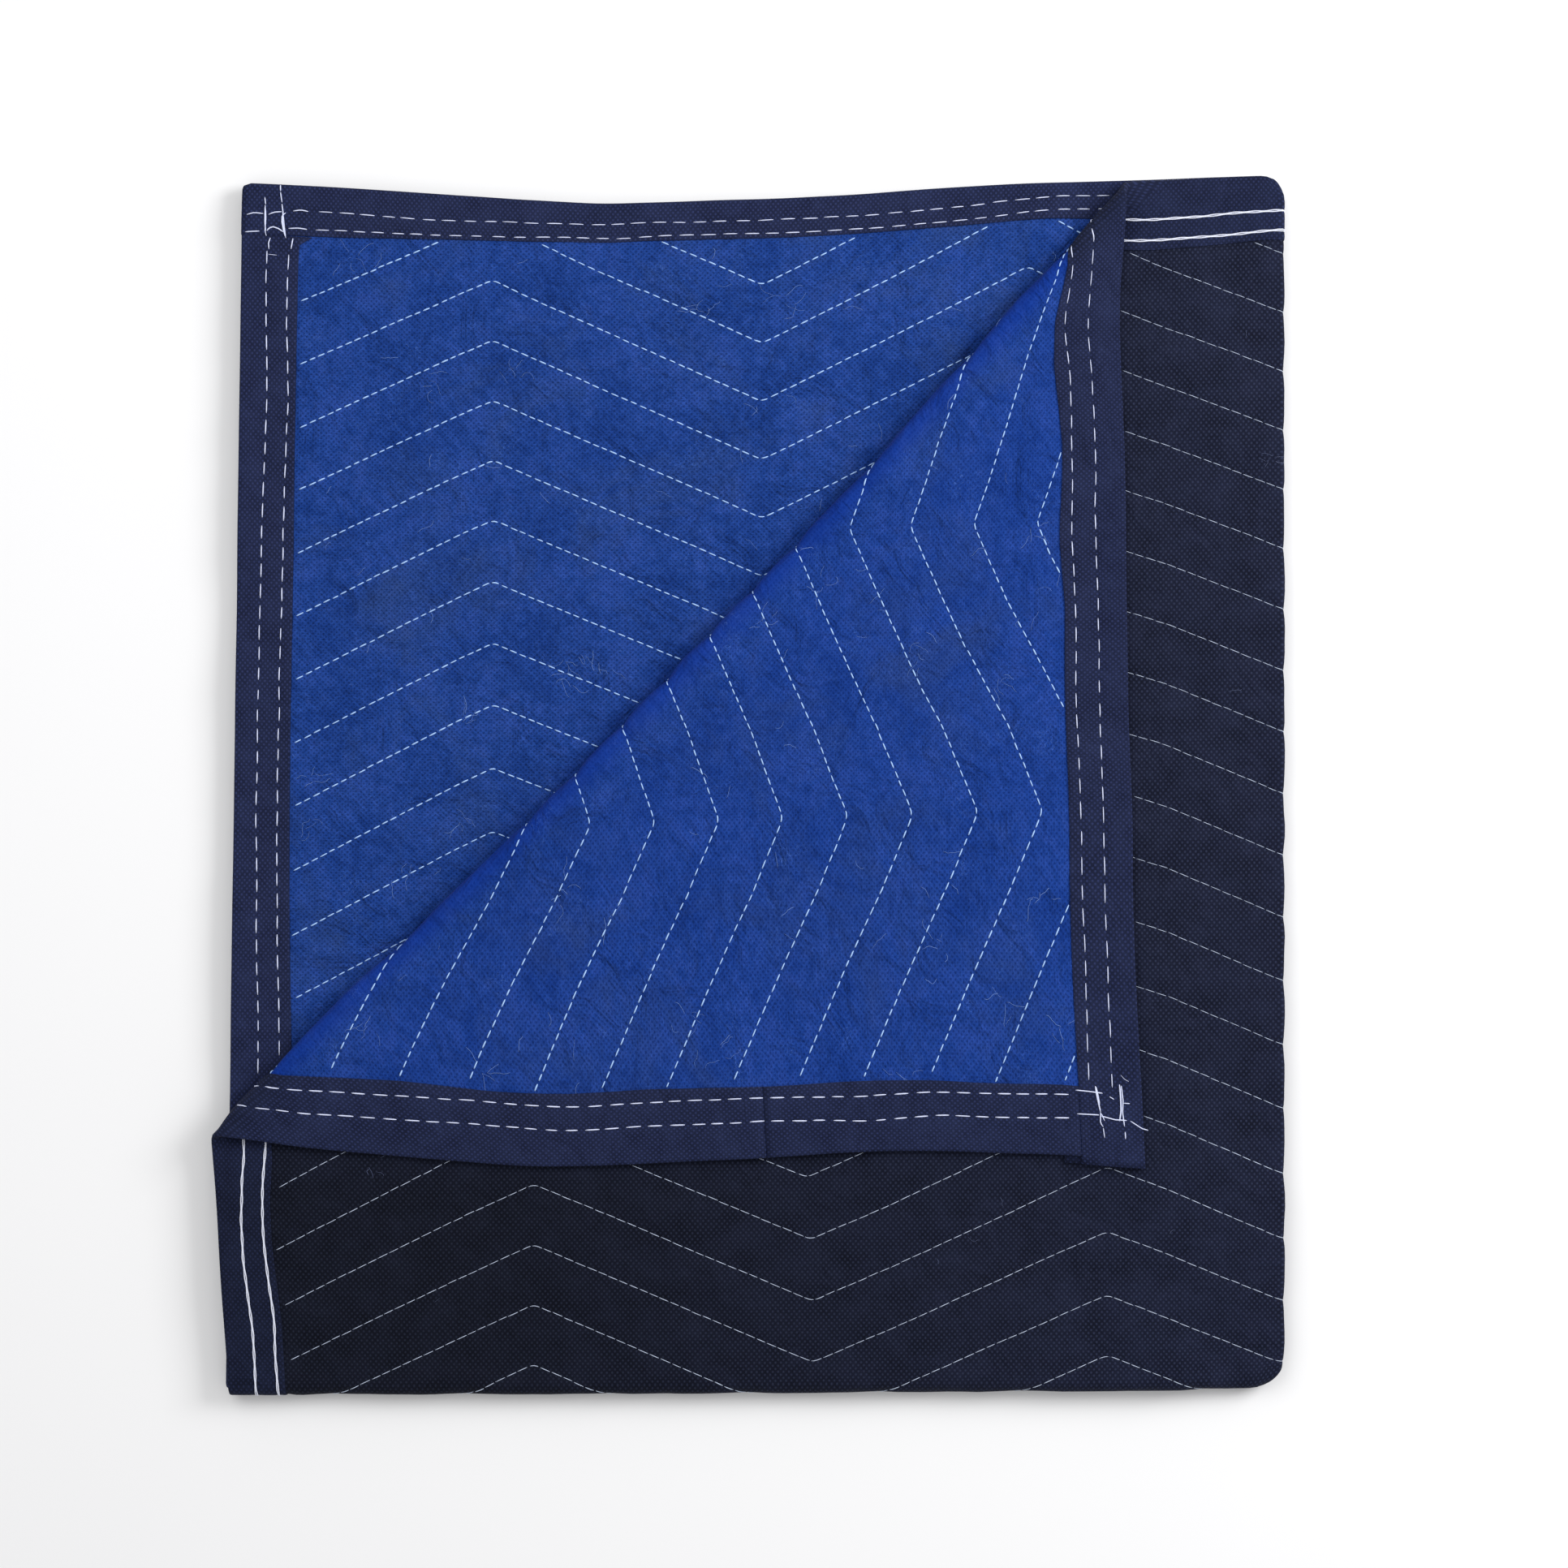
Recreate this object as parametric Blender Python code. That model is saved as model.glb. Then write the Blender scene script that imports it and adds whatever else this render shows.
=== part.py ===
"""Quilted moving blanket, folded in quarters with one free corner turned back.

The sheet is laid out flat first: u runs across it, v down it and w is its height, blue face up.
Every piece is cut on the same lines and then carried through the same folds, so the layers and
the bindings keep their distance. Finished axes: X across, Y up the blanket, Z up from the floor.
"""
import math

import bmesh
import bpy
from mathutils import Vector

NAME = "Moving blanket"
MM = 0.001

# The flat sheet, bound edges included
SHEET_WIDTH = 1785 * MM
SHEET_LENGTH = 2032 * MM

# Thicknesses, measured up or down from the middle of the cloth
CREST = 2.5 * MM
STITCHED = 1.0 * MM
PANEL_GAP = 0.2 * MM

# Binding tape, folded over the edge
TAPE_WIDTH = 52 * MM
TAPE_THICK = 1.0 * MM
TAPE_ROUND = 1.2 * MM
GAP = 0.3 * MM
TAPE_JOIN = 331 * MM
RIM = CREST - TAPE_THICK - GAP
PANEL_INSET = 1.8 * MM
RIM_END = TAPE_WIDTH + 2 * GAP
RISE_END = 60 * MM

# Quilting: zigzag rows that run across the whole sheet
ROW_PITCH = 52.3 * MM
FIRST_ROW = 72.2 * MM
SHOULDER = 11 * MM
ROWS_ABOVE = 6
ROWS_BELOW = 23
ZIGZAG = (
    # u of the apex, how far down the sheet the row lies there
    (-34.5 * MM, 118.0 * MM),
    (220.8 * MM, 0.0 * MM),
    (448.5 * MM, 103.5 * MM),
    (674.1 * MM, -3.2 * MM),
    (814.2 * MM, 72.0 * MM),
    (1048.8 * MM, -16.3 * MM),
    (1295.8 * MM, 94.8 * MM),
    (1538.7 * MM, -5.9 * MM),
    (1749.0 * MM, 97.0 * MM),
    (1980.0 * MM, 0.0 * MM),
)
LEFT_APEX = ZIGZAG[1][0]
RIGHT_APEX = ZIGZAG[7][0]

# First fold: the right half comes over onto the left half
SIDE_FOLD = 886 * MM
SIDE_RADIUS = 3 * MM
SIDE_STEPS = 6
SIDE_END = SIDE_FOLD + math.pi * SIDE_RADIUS

# Second fold: the lower half goes under the upper half
UNDER_FOLD = 1022.6 * MM
UNDER_RADIUS = 3 * MM
PITCH = 2 * SIDE_RADIUS
OUTER_RADIUS = UNDER_RADIUS + PITCH
UNDER_STEPS = 8
UNDER_END = UNDER_FOLD + math.pi * OUTER_RADIUS

# Third fold: the free corner of the top layer rolls back over it
CORNER_POINT = Vector((703.8, -78.7, 0.0)) * MM
CORNER_OUT = Vector((-0.7179, 0.6963, 0.0)).normalized()
CORNER_RADIUS = 7 * MM
CORNER_STEPS = 8
SETTLE_ANGLE = math.radians(12)
SETTLE_STEPS = 3

# Cut edges, which aren't quite square to the quilting
TOP_EDGE = (
    # u, how far the top edge has slipped down
    (0.0 * MM, 5.5 * MM),
    (220.8 * MM, 20.7 * MM),
    (448.5 * MM, 20.7 * MM),
    (674.1 * MM, 9.0 * MM),
    (SIDE_FOLD, 0.0 * MM),
    (SIDE_END, 0.0 * MM),
    (SHEET_WIDTH, 36.6 * MM),
)
LEFT_EDGE = (
    # v, how far the left edge lies in
    (0.0 * MM, 6.0 * MM),
    (UNDER_FOLD, -4.8 * MM),
    (UNDER_END, -4.8 * MM),
    (SHEET_LENGTH, 5.0 * MM),
)
RIGHT_EDGE = (
    # v, how far the right edge lies out
    (0.0 * MM, 61.0 * MM),
    (73.0 * MM, 46.0 * MM),
    (TAPE_JOIN, 43.0 * MM),
    (548.0 * MM, 44.0 * MM),
    (740.0 * MM, 22.5 * MM),
    (UNDER_FOLD, 0.0 * MM),
    (UNDER_END, 0.0 * MM),
    (SHEET_LENGTH, -6.0 * MM),
)

CUT_SNAP = 0.05 * MM
FLAT_ANGLE = 0.001

COLOURS = {
    # name: linear red, green, blue, then roughness
    "blue needled felt": (0.014, 0.050, 0.275, 0.92),
    "navy spunbond": (0.012, 0.016, 0.036, 0.88),
    "navy binding tape": (0.020, 0.026, 0.075, 0.85),
}


def along(table, x):
    """Read a two-column table between its rows."""
    if x <= table[0][0]:
        return table[0][1]
    for (x0, y0), (x1, y1) in zip(table, table[1:]):
        if x <= x1:
            return y0 + (y1 - y0) * (x - x0) / (x1 - x0)
    return table[-1][1]


def ramp(x, start, end):
    """Go from 0 at start to 1 at end."""
    return min(1.0, max(0.0, (x - start) / (end - start)))


def panel_height(u, v, side):
    """Give the height of a panel's outer face over the middle of the cloth."""
    row = (v - FIRST_ROW - along(ZIGZAG, u)) / ROW_PITCH
    from_row = abs(row - round(row)) * ROW_PITCH
    relief = 1.0 - ramp(v, UNDER_FOLD, UNDER_END)
    if side < 0:
        relief *= ramp(u, SIDE_FOLD, SIDE_END)
    field = CREST - (CREST - STITCHED) * relief * (1.0 - ramp(from_row, 0.0, SHOULDER))
    edge = min(u, SHEET_WIDTH - u, v, SHEET_LENGTH - v)
    return RIM + (field - RIM) * ramp(edge, RIM_END, RISE_END)


def cut(bm, point, normal, clear=False, faces=None):
    """Cut along a plane, and drop what lies beyond it when clear is set."""
    faces = bm.faces[:] if faces is None else faces
    edges = {edge for face in faces for edge in face.edges}
    verts = {vert for face in faces for vert in face.verts}
    bmesh.ops.bisect_plane(
        bm,
        geom=list(verts) + list(edges) + list(faces),
        dist=CUT_SNAP,
        plane_co=point,
        plane_no=normal,
        clear_outer=clear,
    )


def fold_lines(start, end, steps):
    """List the lines that a bend is made on."""
    return [start + (end - start) * i / steps for i in range(steps + 1)]


def facet(share, first, last, steps):
    """Give the sine and cosine of a bend's angle, on straight facets between its lines."""
    turns = fold_lines(first, last, steps)
    lines = fold_lines(0.0, 1.0, steps)
    sines = list(zip(lines, [math.sin(turn) for turn in turns]))
    cosines = list(zip(lines, [math.cos(turn) for turn in turns]))
    return along(sines, share), along(cosines, share)


def cut_fold_lines(bm):
    """Cut a flat piece where the sheet bends or its edge changes direction."""
    across = fold_lines(SIDE_FOLD, SIDE_END, SIDE_STEPS) + [u for u, drop in TOP_EDGE[1:4]]
    across += [RISE_END, RIGHT_APEX, SHEET_WIDTH - RISE_END]
    for u in across:
        cut(bm, (u, 0, 0), (1, 0, 0))
    for v in fold_lines(UNDER_FOLD, UNDER_END, UNDER_STEPS):
        cut(bm, (0, v, 0), (0, 1, 0))
    for v, out in RIGHT_EDGE[1:5]:
        outer = [face for face in bm.faces if face.calc_center_median().x > RIGHT_APEX]
        cut(bm, (0, v, 0), (0, 1, 0), faces=outer)


def slip(u, v):
    """Move a point of the flat sheet by what its edges are out of square."""
    in_left = along(LEFT_EDGE, v) * ramp(u, LEFT_APEX, RISE_END)
    out_right = along(RIGHT_EDGE, v) * ramp(u, RIGHT_APEX, SHEET_WIDTH - RISE_END)
    down = along(TOP_EDGE, u) * (1.0 - ramp(v, 0.0, UNDER_FOLD))
    return u + in_left + out_right, v + down


def fold_side(co):
    """Bring the right half of the sheet over onto the left half."""
    u, v = slip(co.x, co.y)
    sine, cosine = facet(ramp(u, SIDE_FOLD, SIDE_END), 0.0, math.pi, SIDE_STEPS)
    reach = SIDE_RADIUS - co.z
    x = min(u, SIDE_FOLD) + reach * sine - max(0.0, u - SIDE_END)
    return Vector((x, -v, SIDE_RADIUS - reach * cosine))


def corner_bend():
    """Give the roll's length, and the radius and length on which it settles."""
    rolled = CORNER_RADIUS * (math.pi + SETTLE_ANGLE)
    drop = CORNER_RADIUS * (1 + math.cos(SETTLE_ANGLE)) - PITCH
    radius = drop / (1 - math.cos(SETTLE_ANGLE))
    return rolled, radius, radius * SETTLE_ANGLE


def corner_start():
    """Give a point on the line where the corner starts to lift."""
    return CORNER_POINT - CORNER_OUT * (CORNER_RADIUS + CREST)


def cut_corner_lines(bm):
    """Cut the top layer on the lines where its corner rolls back."""
    rolled, radius, settled = corner_bend()
    lines = fold_lines(0.0, rolled, CORNER_STEPS)
    lines += fold_lines(rolled, rolled + settled, SETTLE_STEPS)[1:]
    for line in lines:
        top = [face for face in bm.faces if on_top(face.calc_center_median())]
        cut(bm, corner_start() + CORNER_OUT * line, CORNER_OUT, faces=top)


def on_top(co):
    """Tell if a point is in the top layer, clear of its folds."""
    return co.z > SIDE_RADIUS and co.x < SIDE_FOLD and co.y > -UNDER_FOLD


def fold_corner(co):
    """Roll the free corner back over the top layer."""
    past = (co - corner_start()).dot(CORNER_OUT)
    if past <= 0 or not on_top(co):
        return co
    rolled, radius, settled = corner_bend()
    full = math.pi + SETTLE_ANGLE
    sine, cosine = facet(ramp(past, 0.0, rolled), 0.0, full, CORNER_STEPS)
    out = CORNER_RADIUS * sine
    up = CORNER_RADIUS * (1 - cosine)
    if past > rolled:
        sine, cosine = facet(ramp(past, rolled, rolled + settled), full, math.pi, SETTLE_STEPS)
        out -= radius * (sine - math.sin(full))
        up += radius * (cosine - math.cos(full))
    out -= max(0.0, past - rolled - settled)
    lift = co.z - PITCH
    moved = co + CORNER_OUT * (out - lift * sine - past)
    moved.z = PITCH + up + lift * cosine
    return moved


def fold_under(co):
    """Take the lower half under the upper half."""
    down = -co.y - UNDER_FOLD
    if down <= 0:
        return co
    length = UNDER_END - UNDER_FOLD
    sine, cosine = facet(ramp(down, 0.0, length), 0.0, math.pi, UNDER_STEPS)
    reach = co.z + UNDER_RADIUS
    y = -UNDER_FOLD - reach * sine + max(0.0, down - length)
    return Vector((co.x, y, reach * cosine - UNDER_RADIUS))


def fold(bm):
    """Fold a flat piece and tidy the faces that stay flat."""
    cut_fold_lines(bm)
    for vert in bm.verts:
        vert.co = fold_side(vert.co)
    cut_corner_lines(bm)
    for vert in bm.verts:
        vert.co = fold_under(fold_corner(vert.co))
    bm.normal_update()
    bmesh.ops.dissolve_limit(bm, angle_limit=FLAT_ANGLE, verts=bm.verts[:], edges=bm.edges[:])
    bmesh.ops.triangulate(bm, faces=bm.faces[:])
    bmesh.ops.recalc_face_normals(bm, faces=bm.faces[:])


def quilted_half(bm):
    """Lay out the quilted half of the sheet, with its edges on the rows."""
    lines = []
    for row in range(-ROWS_ABOVE, ROWS_BELOW):
        lines += [row * ROW_PITCH + step for step in (-SHOULDER, 0.0, SHOULDER)]
    columns = len(ZIGZAG)
    bmesh.ops.create_grid(bm, x_segments=columns - 1, y_segments=len(lines) - 1, size=1.0)
    verts = sorted(bm.verts, key=lambda vert: (round(vert.co.y, 4), vert.co.x))
    for i, vert in enumerate(verts):
        u, down = ZIGZAG[i % columns]
        vert.co = (u, FIRST_ROW + down + lines[i // columns], 0)
    cut(bm, (PANEL_INSET, 0, 0), (-1, 0, 0), clear=True)
    cut(bm, (SHEET_WIDTH - PANEL_INSET, 0, 0), (1, 0, 0), clear=True)
    cut(bm, (0, PANEL_INSET, 0), (0, -1, 0), clear=True)
    cut(bm, (0, UNDER_END, 0), (0, 1, 0), clear=True)


def panel(side):
    """Make one panel: side 1 is the blue face, side -1 the navy back."""
    bm = bmesh.new()
    quilted_half(bm)
    open_edges = [edge for edge in bm.edges if min(vert.co.y for vert in edge.verts) > UNDER_END - CUT_SNAP]
    grown = bmesh.ops.extrude_edge_only(bm, edges=open_edges)["geom"]
    for vert in grown:
        if isinstance(vert, bmesh.types.BMVert):
            vert.co.y = SHEET_LENGTH - PANEL_INSET
    for inset in (RIM_END, RISE_END):
        cut(bm, (inset, 0, 0), (1, 0, 0))
        cut(bm, (SHEET_WIDTH - inset, 0, 0), (1, 0, 0))
        cut(bm, (0, inset, 0), (0, 1, 0))
        cut(bm, (0, SHEET_LENGTH - inset, 0), (0, 1, 0))
    cut_fold_lines(bm)
    inner = bm.verts[:]
    raised = bmesh.ops.extrude_face_region(bm, geom=bm.faces[:])["geom"]
    for vert in inner:
        vert.co.z = side * PANEL_GAP
    for vert in raised:
        if isinstance(vert, bmesh.types.BMVert):
            vert.co.z = side * panel_height(vert.co.x, vert.co.y, side)
    fold(bm)
    return bm


def binding(start, end):
    """Make one length of tape, folded over the edge on the left of start to end."""
    bm = bmesh.new()
    run = (end - start).normalized()
    inward = Vector((-run.y, run.x, 0.0))
    section = (
        # distance in from the edge, height
        (TAPE_WIDTH, CREST),
        (TAPE_ROUND, CREST),
        (0.0, CREST - TAPE_ROUND),
        (0.0, TAPE_ROUND - CREST),
        (TAPE_ROUND, -CREST),
        (TAPE_WIDTH, -CREST),
    )
    verts = [bm.verts.new(start + inward * into + Vector((0, 0, height))) for into, height in section]
    edges = [bm.edges.new(pair) for pair in zip(verts, verts[1:])]
    grown = bmesh.ops.extrude_edge_only(bm, edges=edges)["geom"]
    for vert in grown:
        if isinstance(vert, bmesh.types.BMVert):
            vert.co += end - start
    bmesh.ops.recalc_face_normals(bm, faces=bm.faces[:])
    bmesh.ops.solidify(bm, geom=bm.faces[:], thickness=TAPE_THICK)
    fold(bm)
    return bm


def material(name):
    """Make one cloth material."""
    red, green, blue, rough = COLOURS[name]
    cloth = bpy.data.materials.new(name)
    cloth.use_nodes = True
    shader = cloth.node_tree.nodes["Principled BSDF"]
    shader.inputs["Base Color"].default_value = (red, green, blue, 1.0)
    shader.inputs["Roughness"].default_value = rough
    shader.inputs["Metallic"].default_value = 0.0
    return cloth


def add_piece(name, bm, cloth, group, move):
    """Put a folded piece in the collection as a named object."""
    bmesh.ops.translate(bm, verts=bm.verts[:], vec=move)
    mesh = bpy.data.meshes.new(name)
    bm.to_mesh(mesh)
    bm.free()
    mesh.materials.append(cloth)
    group.objects.link(bpy.data.objects.new(name, mesh))


def tape_lengths():
    """Give the ends of each length of tape, in order round the sheet."""
    right, low = SHEET_WIDTH, SHEET_LENGTH
    butt = TAPE_WIDTH + GAP
    return {
        "binding_top": (Vector((0, 0, 0)), Vector((right, 0, 0))),
        "binding_right_upper": (Vector((right, butt, 0)), Vector((right, TAPE_JOIN - GAP / 2, 0))),
        "binding_right_lower": (Vector((right, TAPE_JOIN + GAP / 2, 0)), Vector((right, low - butt, 0))),
        "binding_bottom": (Vector((right, low, 0)), Vector((0, low, 0))),
        "binding_left": (Vector((0, low - butt, 0)), Vector((0, butt, 0))),
    }


def main():
    for item in list(bpy.data.objects):
        bpy.data.objects.remove(item, do_unlink=True)
    group = bpy.data.collections.new(NAME)
    bpy.context.scene.collection.children.link(group)
    cloths = {name: material(name) for name in COLOURS}
    pieces = {"face_panel": (panel(1), "blue needled felt"), "back_panel": (panel(-1), "navy spunbond")}
    for name, (start, end) in tape_lengths().items():
        pieces[name] = (binding(start, end), "navy binding tape")
    points = [vert.co for bm, cloth in pieces.values() for vert in bm.verts]
    low = Vector([min(point[i] for point in points) for i in range(3)])
    high = Vector([max(point[i] for point in points) for i in range(3)])
    move = Vector((-(low.x + high.x) / 2, -(low.y + high.y) / 2, -low.z))
    for name, (bm, cloth) in pieces.items():
        add_piece(name, bm, cloths[cloth], group, move)


main()
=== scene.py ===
"""Dresses the folded moving blanket: quilted cloths, binding tapes, sewing thread and lint.

Every piece is laid out flat, u across the sheet and v down it, blue face up, and then carried
through the folds that the frame's solids were folded with.
"""
import math

import bmesh
import bpy
import numpy as np
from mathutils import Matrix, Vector


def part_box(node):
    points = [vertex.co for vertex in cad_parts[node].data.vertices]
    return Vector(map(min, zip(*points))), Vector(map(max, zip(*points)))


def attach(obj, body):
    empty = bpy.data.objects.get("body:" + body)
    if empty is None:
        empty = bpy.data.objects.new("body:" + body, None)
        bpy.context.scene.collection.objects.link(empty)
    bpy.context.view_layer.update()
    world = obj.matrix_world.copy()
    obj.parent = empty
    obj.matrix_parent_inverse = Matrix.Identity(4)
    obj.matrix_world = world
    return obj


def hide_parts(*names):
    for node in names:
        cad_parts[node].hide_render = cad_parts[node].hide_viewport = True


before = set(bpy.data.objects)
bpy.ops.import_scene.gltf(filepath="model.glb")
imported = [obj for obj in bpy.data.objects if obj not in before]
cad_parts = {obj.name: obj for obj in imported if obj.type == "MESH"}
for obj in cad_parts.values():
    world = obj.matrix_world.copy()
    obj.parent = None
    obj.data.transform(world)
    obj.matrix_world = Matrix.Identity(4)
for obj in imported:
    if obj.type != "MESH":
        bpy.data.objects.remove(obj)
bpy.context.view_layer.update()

MM = 0.001
SEED = 72

# The flat sheet and its thicknesses, as in the frame's solids
SHEET_WIDTH = 1785 * MM
SHEET_LENGTH = 2032 * MM
CREST = 2.5 * MM
STITCHED = 1.0 * MM
INNER_FACE = 0.2 * MM
RIM = 1.2 * MM
PANEL_INSET = 1.8 * MM

# Quilting rows
ROW_PITCH = 52.3 * MM
FIRST_ROW = 72.2 * MM
ROWS_ABOVE = 6
ROWS_BELOW = 43
ZIGZAG = (
    # u of the apex in mm, how far down the row lies there
    (-34.5, 118.0),
    (220.8, 0.0),
    (448.5, 103.5),
    (674.1, -3.2),
    (814.2, 72.0),
    (1048.8, -16.3),
    (1295.8, 94.8),
    (1538.7, -5.9),
    (1749.0, 97.0),
    (1980.0, 0.0),
)
# How far the rows have wandered from even spacing, in mm: place across, then for rows -2 to 17
DRIFT_ROWS = (-2, 1, 4, 7, 10, 13, 17)
DRIFT = (
    (0, -2, 6, 12, 19, 28, 35, 42),
    (190, 0, -2, -3, 0, 8, 17, 26),
    (410, 3, -3, -9, -10, -5, 3, 11),
    (650, 5, -1, -5, -8, -6, -1, 5),
    (900, 7, -1, -8, -10, -10, -5, 7),
    (990, 2, -3, -11, -15, -16, -10, 4),
    (1225, -35, -17, -7, -6, -5, -1, 4),
    (1465, -54, -44, -31, -18, -7, -2, 0),
    (1590, -52, -38, -27, -13, 3, -1, -2),
    (1785, -39, -18, 1, 17, 26, 13, -5),
)
# How far the apexes have moved towards the left edge from row 12.5 to row 14.5, in mm
APEX_SHIFT = ((900, 0), (1041, 7.8), (1290, 5.9), (1526, 12.7), (1785, 12.7))
APEX_ROWS = (12.5, 14.5)
UPPER_STEPS = (0.0, 1.2, 3.5, 8.0, 16.0, 26.15, -16.0, -8.0, -3.5, -1.2)
LOWER_STEPS = (0.0, 4.0, 26.15, -4.0)
COLUMN = 14 * MM
PUFF_POWERS = (2.4, 0.8)
PULL_MARKS = 0.34 * MM
PULL_PROUD = 0.4 * MM
SHOULDER = (0.5 * MM, 9 * MM)

# Folds
SIDE_FOLD = 886 * MM
SIDE_RADIUS = 3 * MM
SIDE_END = SIDE_FOLD + math.pi * SIDE_RADIUS
UNDER_FOLD = 1022.6 * MM
UNDER_RADIUS = 3 * MM
PITCH = 2 * SIDE_RADIUS
OUTER_RADIUS = UNDER_RADIUS + PITCH
UNDER_END = UNDER_FOLD + math.pi * OUTER_RADIUS
CORNER_POINT = np.array((703.8, -78.7)) * MM
CORNER_OUT = np.array((-0.7179, 0.6963)) / math.hypot(0.7179, 0.6963)
CORNER_RADIUS = 7 * MM
SETTLE_ANGLE = math.radians(12)
FLAP_LOFT = 0.8 * MM
FLAP_REACH = 120 * MM
SIDE_CUTS = 11
UNDER_CUTS = 15
CORNER_CUTS = 17

# How the turned corner has crept, in mm: places down the folded sheet, and how far left there
FOLD_BOW = (
    (13, 18), (59, 14), (108, 11.7), (160, 9), (199, 5), (265, 1.5), (334, 0), (540, 0), (629, 5.7),
    (689, 11.7), (748, 13.7), (785, 10), (815, 1), (842, 0),
)
FLAP_PULL = (
    (13, 24.6), (60, 25), (92, 25.8), (127, 25.6), (161, 22.4), (196, 20.8), (237, 15.6),
    (279, 14.2), (334, 13.4), (403, 11.3), (451, 10.3), (541, 5.6), (610, 5.5), (679, 3.2),
    (748, -0.8), (790, -3.4), (842, -6.0),
)
PULL_REACH = ((13, 45), (92, 80), (200, 150), (265, 160), (842, 160))
HEEL = np.array((-18.6, -817.0)) * MM
HEEL_RISE = 8 * MM
HEEL_REACH = 60 * MM
ROLL_DRAWN_IN = 1.6 * MM

# Cut edges: how far each lies from square, in mm
TOP_EDGE = (
    (0, 4.9), (221, 20.1), (448, 20.1), (674, 8.4), (886, -0.6), (895, -0.6), (1043, 6.1),
    (1785, 36.6),
)
TOP_TRIM = (
    (0, 0), (60, -1), (109, -1.4), (212, -2), (316, 3.5), (420, 0), (523, -0.7), (627, -2.7),
    (730, -2), (800, -1.3), (869, -0.7), (886, 0), (1785, 0),
)
TRIM_REACH = (30 * MM, 95 * MM)
LEFT_REACH = (220.8 * MM, 60 * MM)
RIGHT_REACH = (1538.7 * MM, SHEET_WIDTH - 60 * MM)
SHEET_ROUND = 7 * MM
LEFT_EDGE = ((0, 8.2), (1022.6, -5.9), (1050.9, -5.9), (2032, 10.5))
RIGHT_EDGE = (
    (0, 52.5), (73, 44.5), (119, 42), (181, 38), (243, 36.6), (319, 39.5), (492, 42.3), (548, 40.5),
    (740, 19), (860, 9.5), (934, 5.6),
    (1022.6, -0.7), (1050.9, -0.7), (1110, -3.5), (2032, -15.8),
)

# Binding tapes, in mm: place along the edge, width on the blue side, width on the navy side,
# and how far the outer and inner rows of stitches lie from the edge
TAPE_TOP = (
    (0, 45.0, 52.0, 22.0, 38.6),
    (84, 43.2, 53.2, 22.5, 37.8),
    (128, 41.5, 51.5, 23.3, 37.2),
    (179, 39.3, 51.8, 23.3, 35.6),
    (230, 37.3, 51.0, 21.4, 34.2),
    (285, 35.4, 48.1, 19.1, 31.0),
    (353, 33.7, 47.7, 18.0, 29.9),
    (422, 34.5, 50.0, 18.9, 30.1),
    (560, 34.4, 51.4, 19.1, 30.9),
    (615, 33.8, 52.5, 18.1, 29.3),
    (656, 32.5, 52.5, 14.7, 27.2),
    (697, 31.2, 52.2, 12.2, 23.2),
    (760, 33.7, 53.7, 13.7, 25.7),
    (860, 50.8, 55.8, 30.8, 47.8),
    (907, 52.0, 55.5, 30.7, 47.8),
    (968, 52.0, 59.0, 33.8, 51.0),
    (1003, 52.0, 60.4, 35.2, 52.4),
    (1045, 50.0, 58.0, 31.0, 50.0),
    (1096, 56.0, 58.0, 29.5, 49.5),
    (1127, 62.0, 57.0, 31.5, 53.5),
    (1165, 62.5, 57.0, 27.6, 47.8),
    (1230, 57.0, 57.0, 27.4, 48.7),
    (1300, 58.0, 57.0, 26.6, 47.0),
    (1368, 53.5, 57.0, 24.9, 44.7),
    (1404, 54.5, 57.0, 24.8, 45.1),
    (1540, 55.0, 57.0, 25.6, 45.0),
    (1640, 55.0, 57.0, 24.2, 43.4),
    (1710, 55.0, 57.0, 26.0, 45.8),
    (1735, 55.0, 70.0, 26.5, 46.5),
    (1792, 55.0, 70.0, 26.5, 46.5),
)
TAPE_LEFT = (
    (0, 60.0, 52.0, 21.6, 39.6),
    (45, 60.0, 52.0, 21.6, 39.6),
    (48, 52.5, 52.0, 21.9, 39.8),
    (52, 49.2, 52.0, 23.4, 41.1),
    (72, 48.6, 52.0, 21.6, 39.5),
    (120, 48.1, 52.0, 22.3, 39.5),
    (190, 47.9, 52.0, 23.6, 41.6),
    (260, 47.9, 52.0, 21.4, 39.3),
    (400, 47.6, 52.0, 19.9, 37.8),
    (536, 47.6, 52.0, 19.1, 36.9),
    (605, 48.6, 52.0, 20.7, 37.9),
    (743, 52.1, 52.0, 24.0, 41.9),
    (1022, 52.6, 52.0, 23.0, 42.1),
    (2032, 51.6, 52.0, 22.6, 41.6),
)
TAPE_RIGHT = (
    (0, 58.0, 54.0, 31.4, 51.4),
    (70, 60.0, 54.0, 32.5, 52.5),
    (112, 59.0, 54.0, 30.3, 50.3),
    (145, 59.0, 54.0, 30.5, 50.5),
    (181, 60.0, 54.0, 30.3, 50.4),
    (243, 60.0, 54.0, 26.0, 46.3),
    (323, 60.3, 54.0, 31.3, 51.1),
    (430, 62.3, 54.0, 32.0, 52.0),
    (501, 61.2, 54.0, 30.3, 50.2),
    (571, 62.0, 54.0, 33.5, 53.4),
    (640, 64.4, 54.0, 32.0, 52.0),
    (711, 62.8, 54.0, 30.7, 51.1),
    (760, 62.0, 53.0, 31.0, 51.0),
    (827, 58.0, 50.5, 26.0, 44.0),
    (863, 54.0, 46.0, 21.3, 39.2),
    (898, 52.0, 45.3, 20.0, 38.5),
    (969, 52.0, 49.5, 24.5, 43.0),
    (1005, 52.0, 49.0, 23.8, 42.3),
    (2032, 52.0, 52.0, 21.0, 40.0),
)
TAPE_BOTTOM = ((0, 52.0, 52.0, 22.0, 40.0), (1785, 52.0, 52.0, 22.0, 40.0))
TAPE_THICK = 1.0 * MM
TAPE_ROUND = 1.8 * MM
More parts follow.
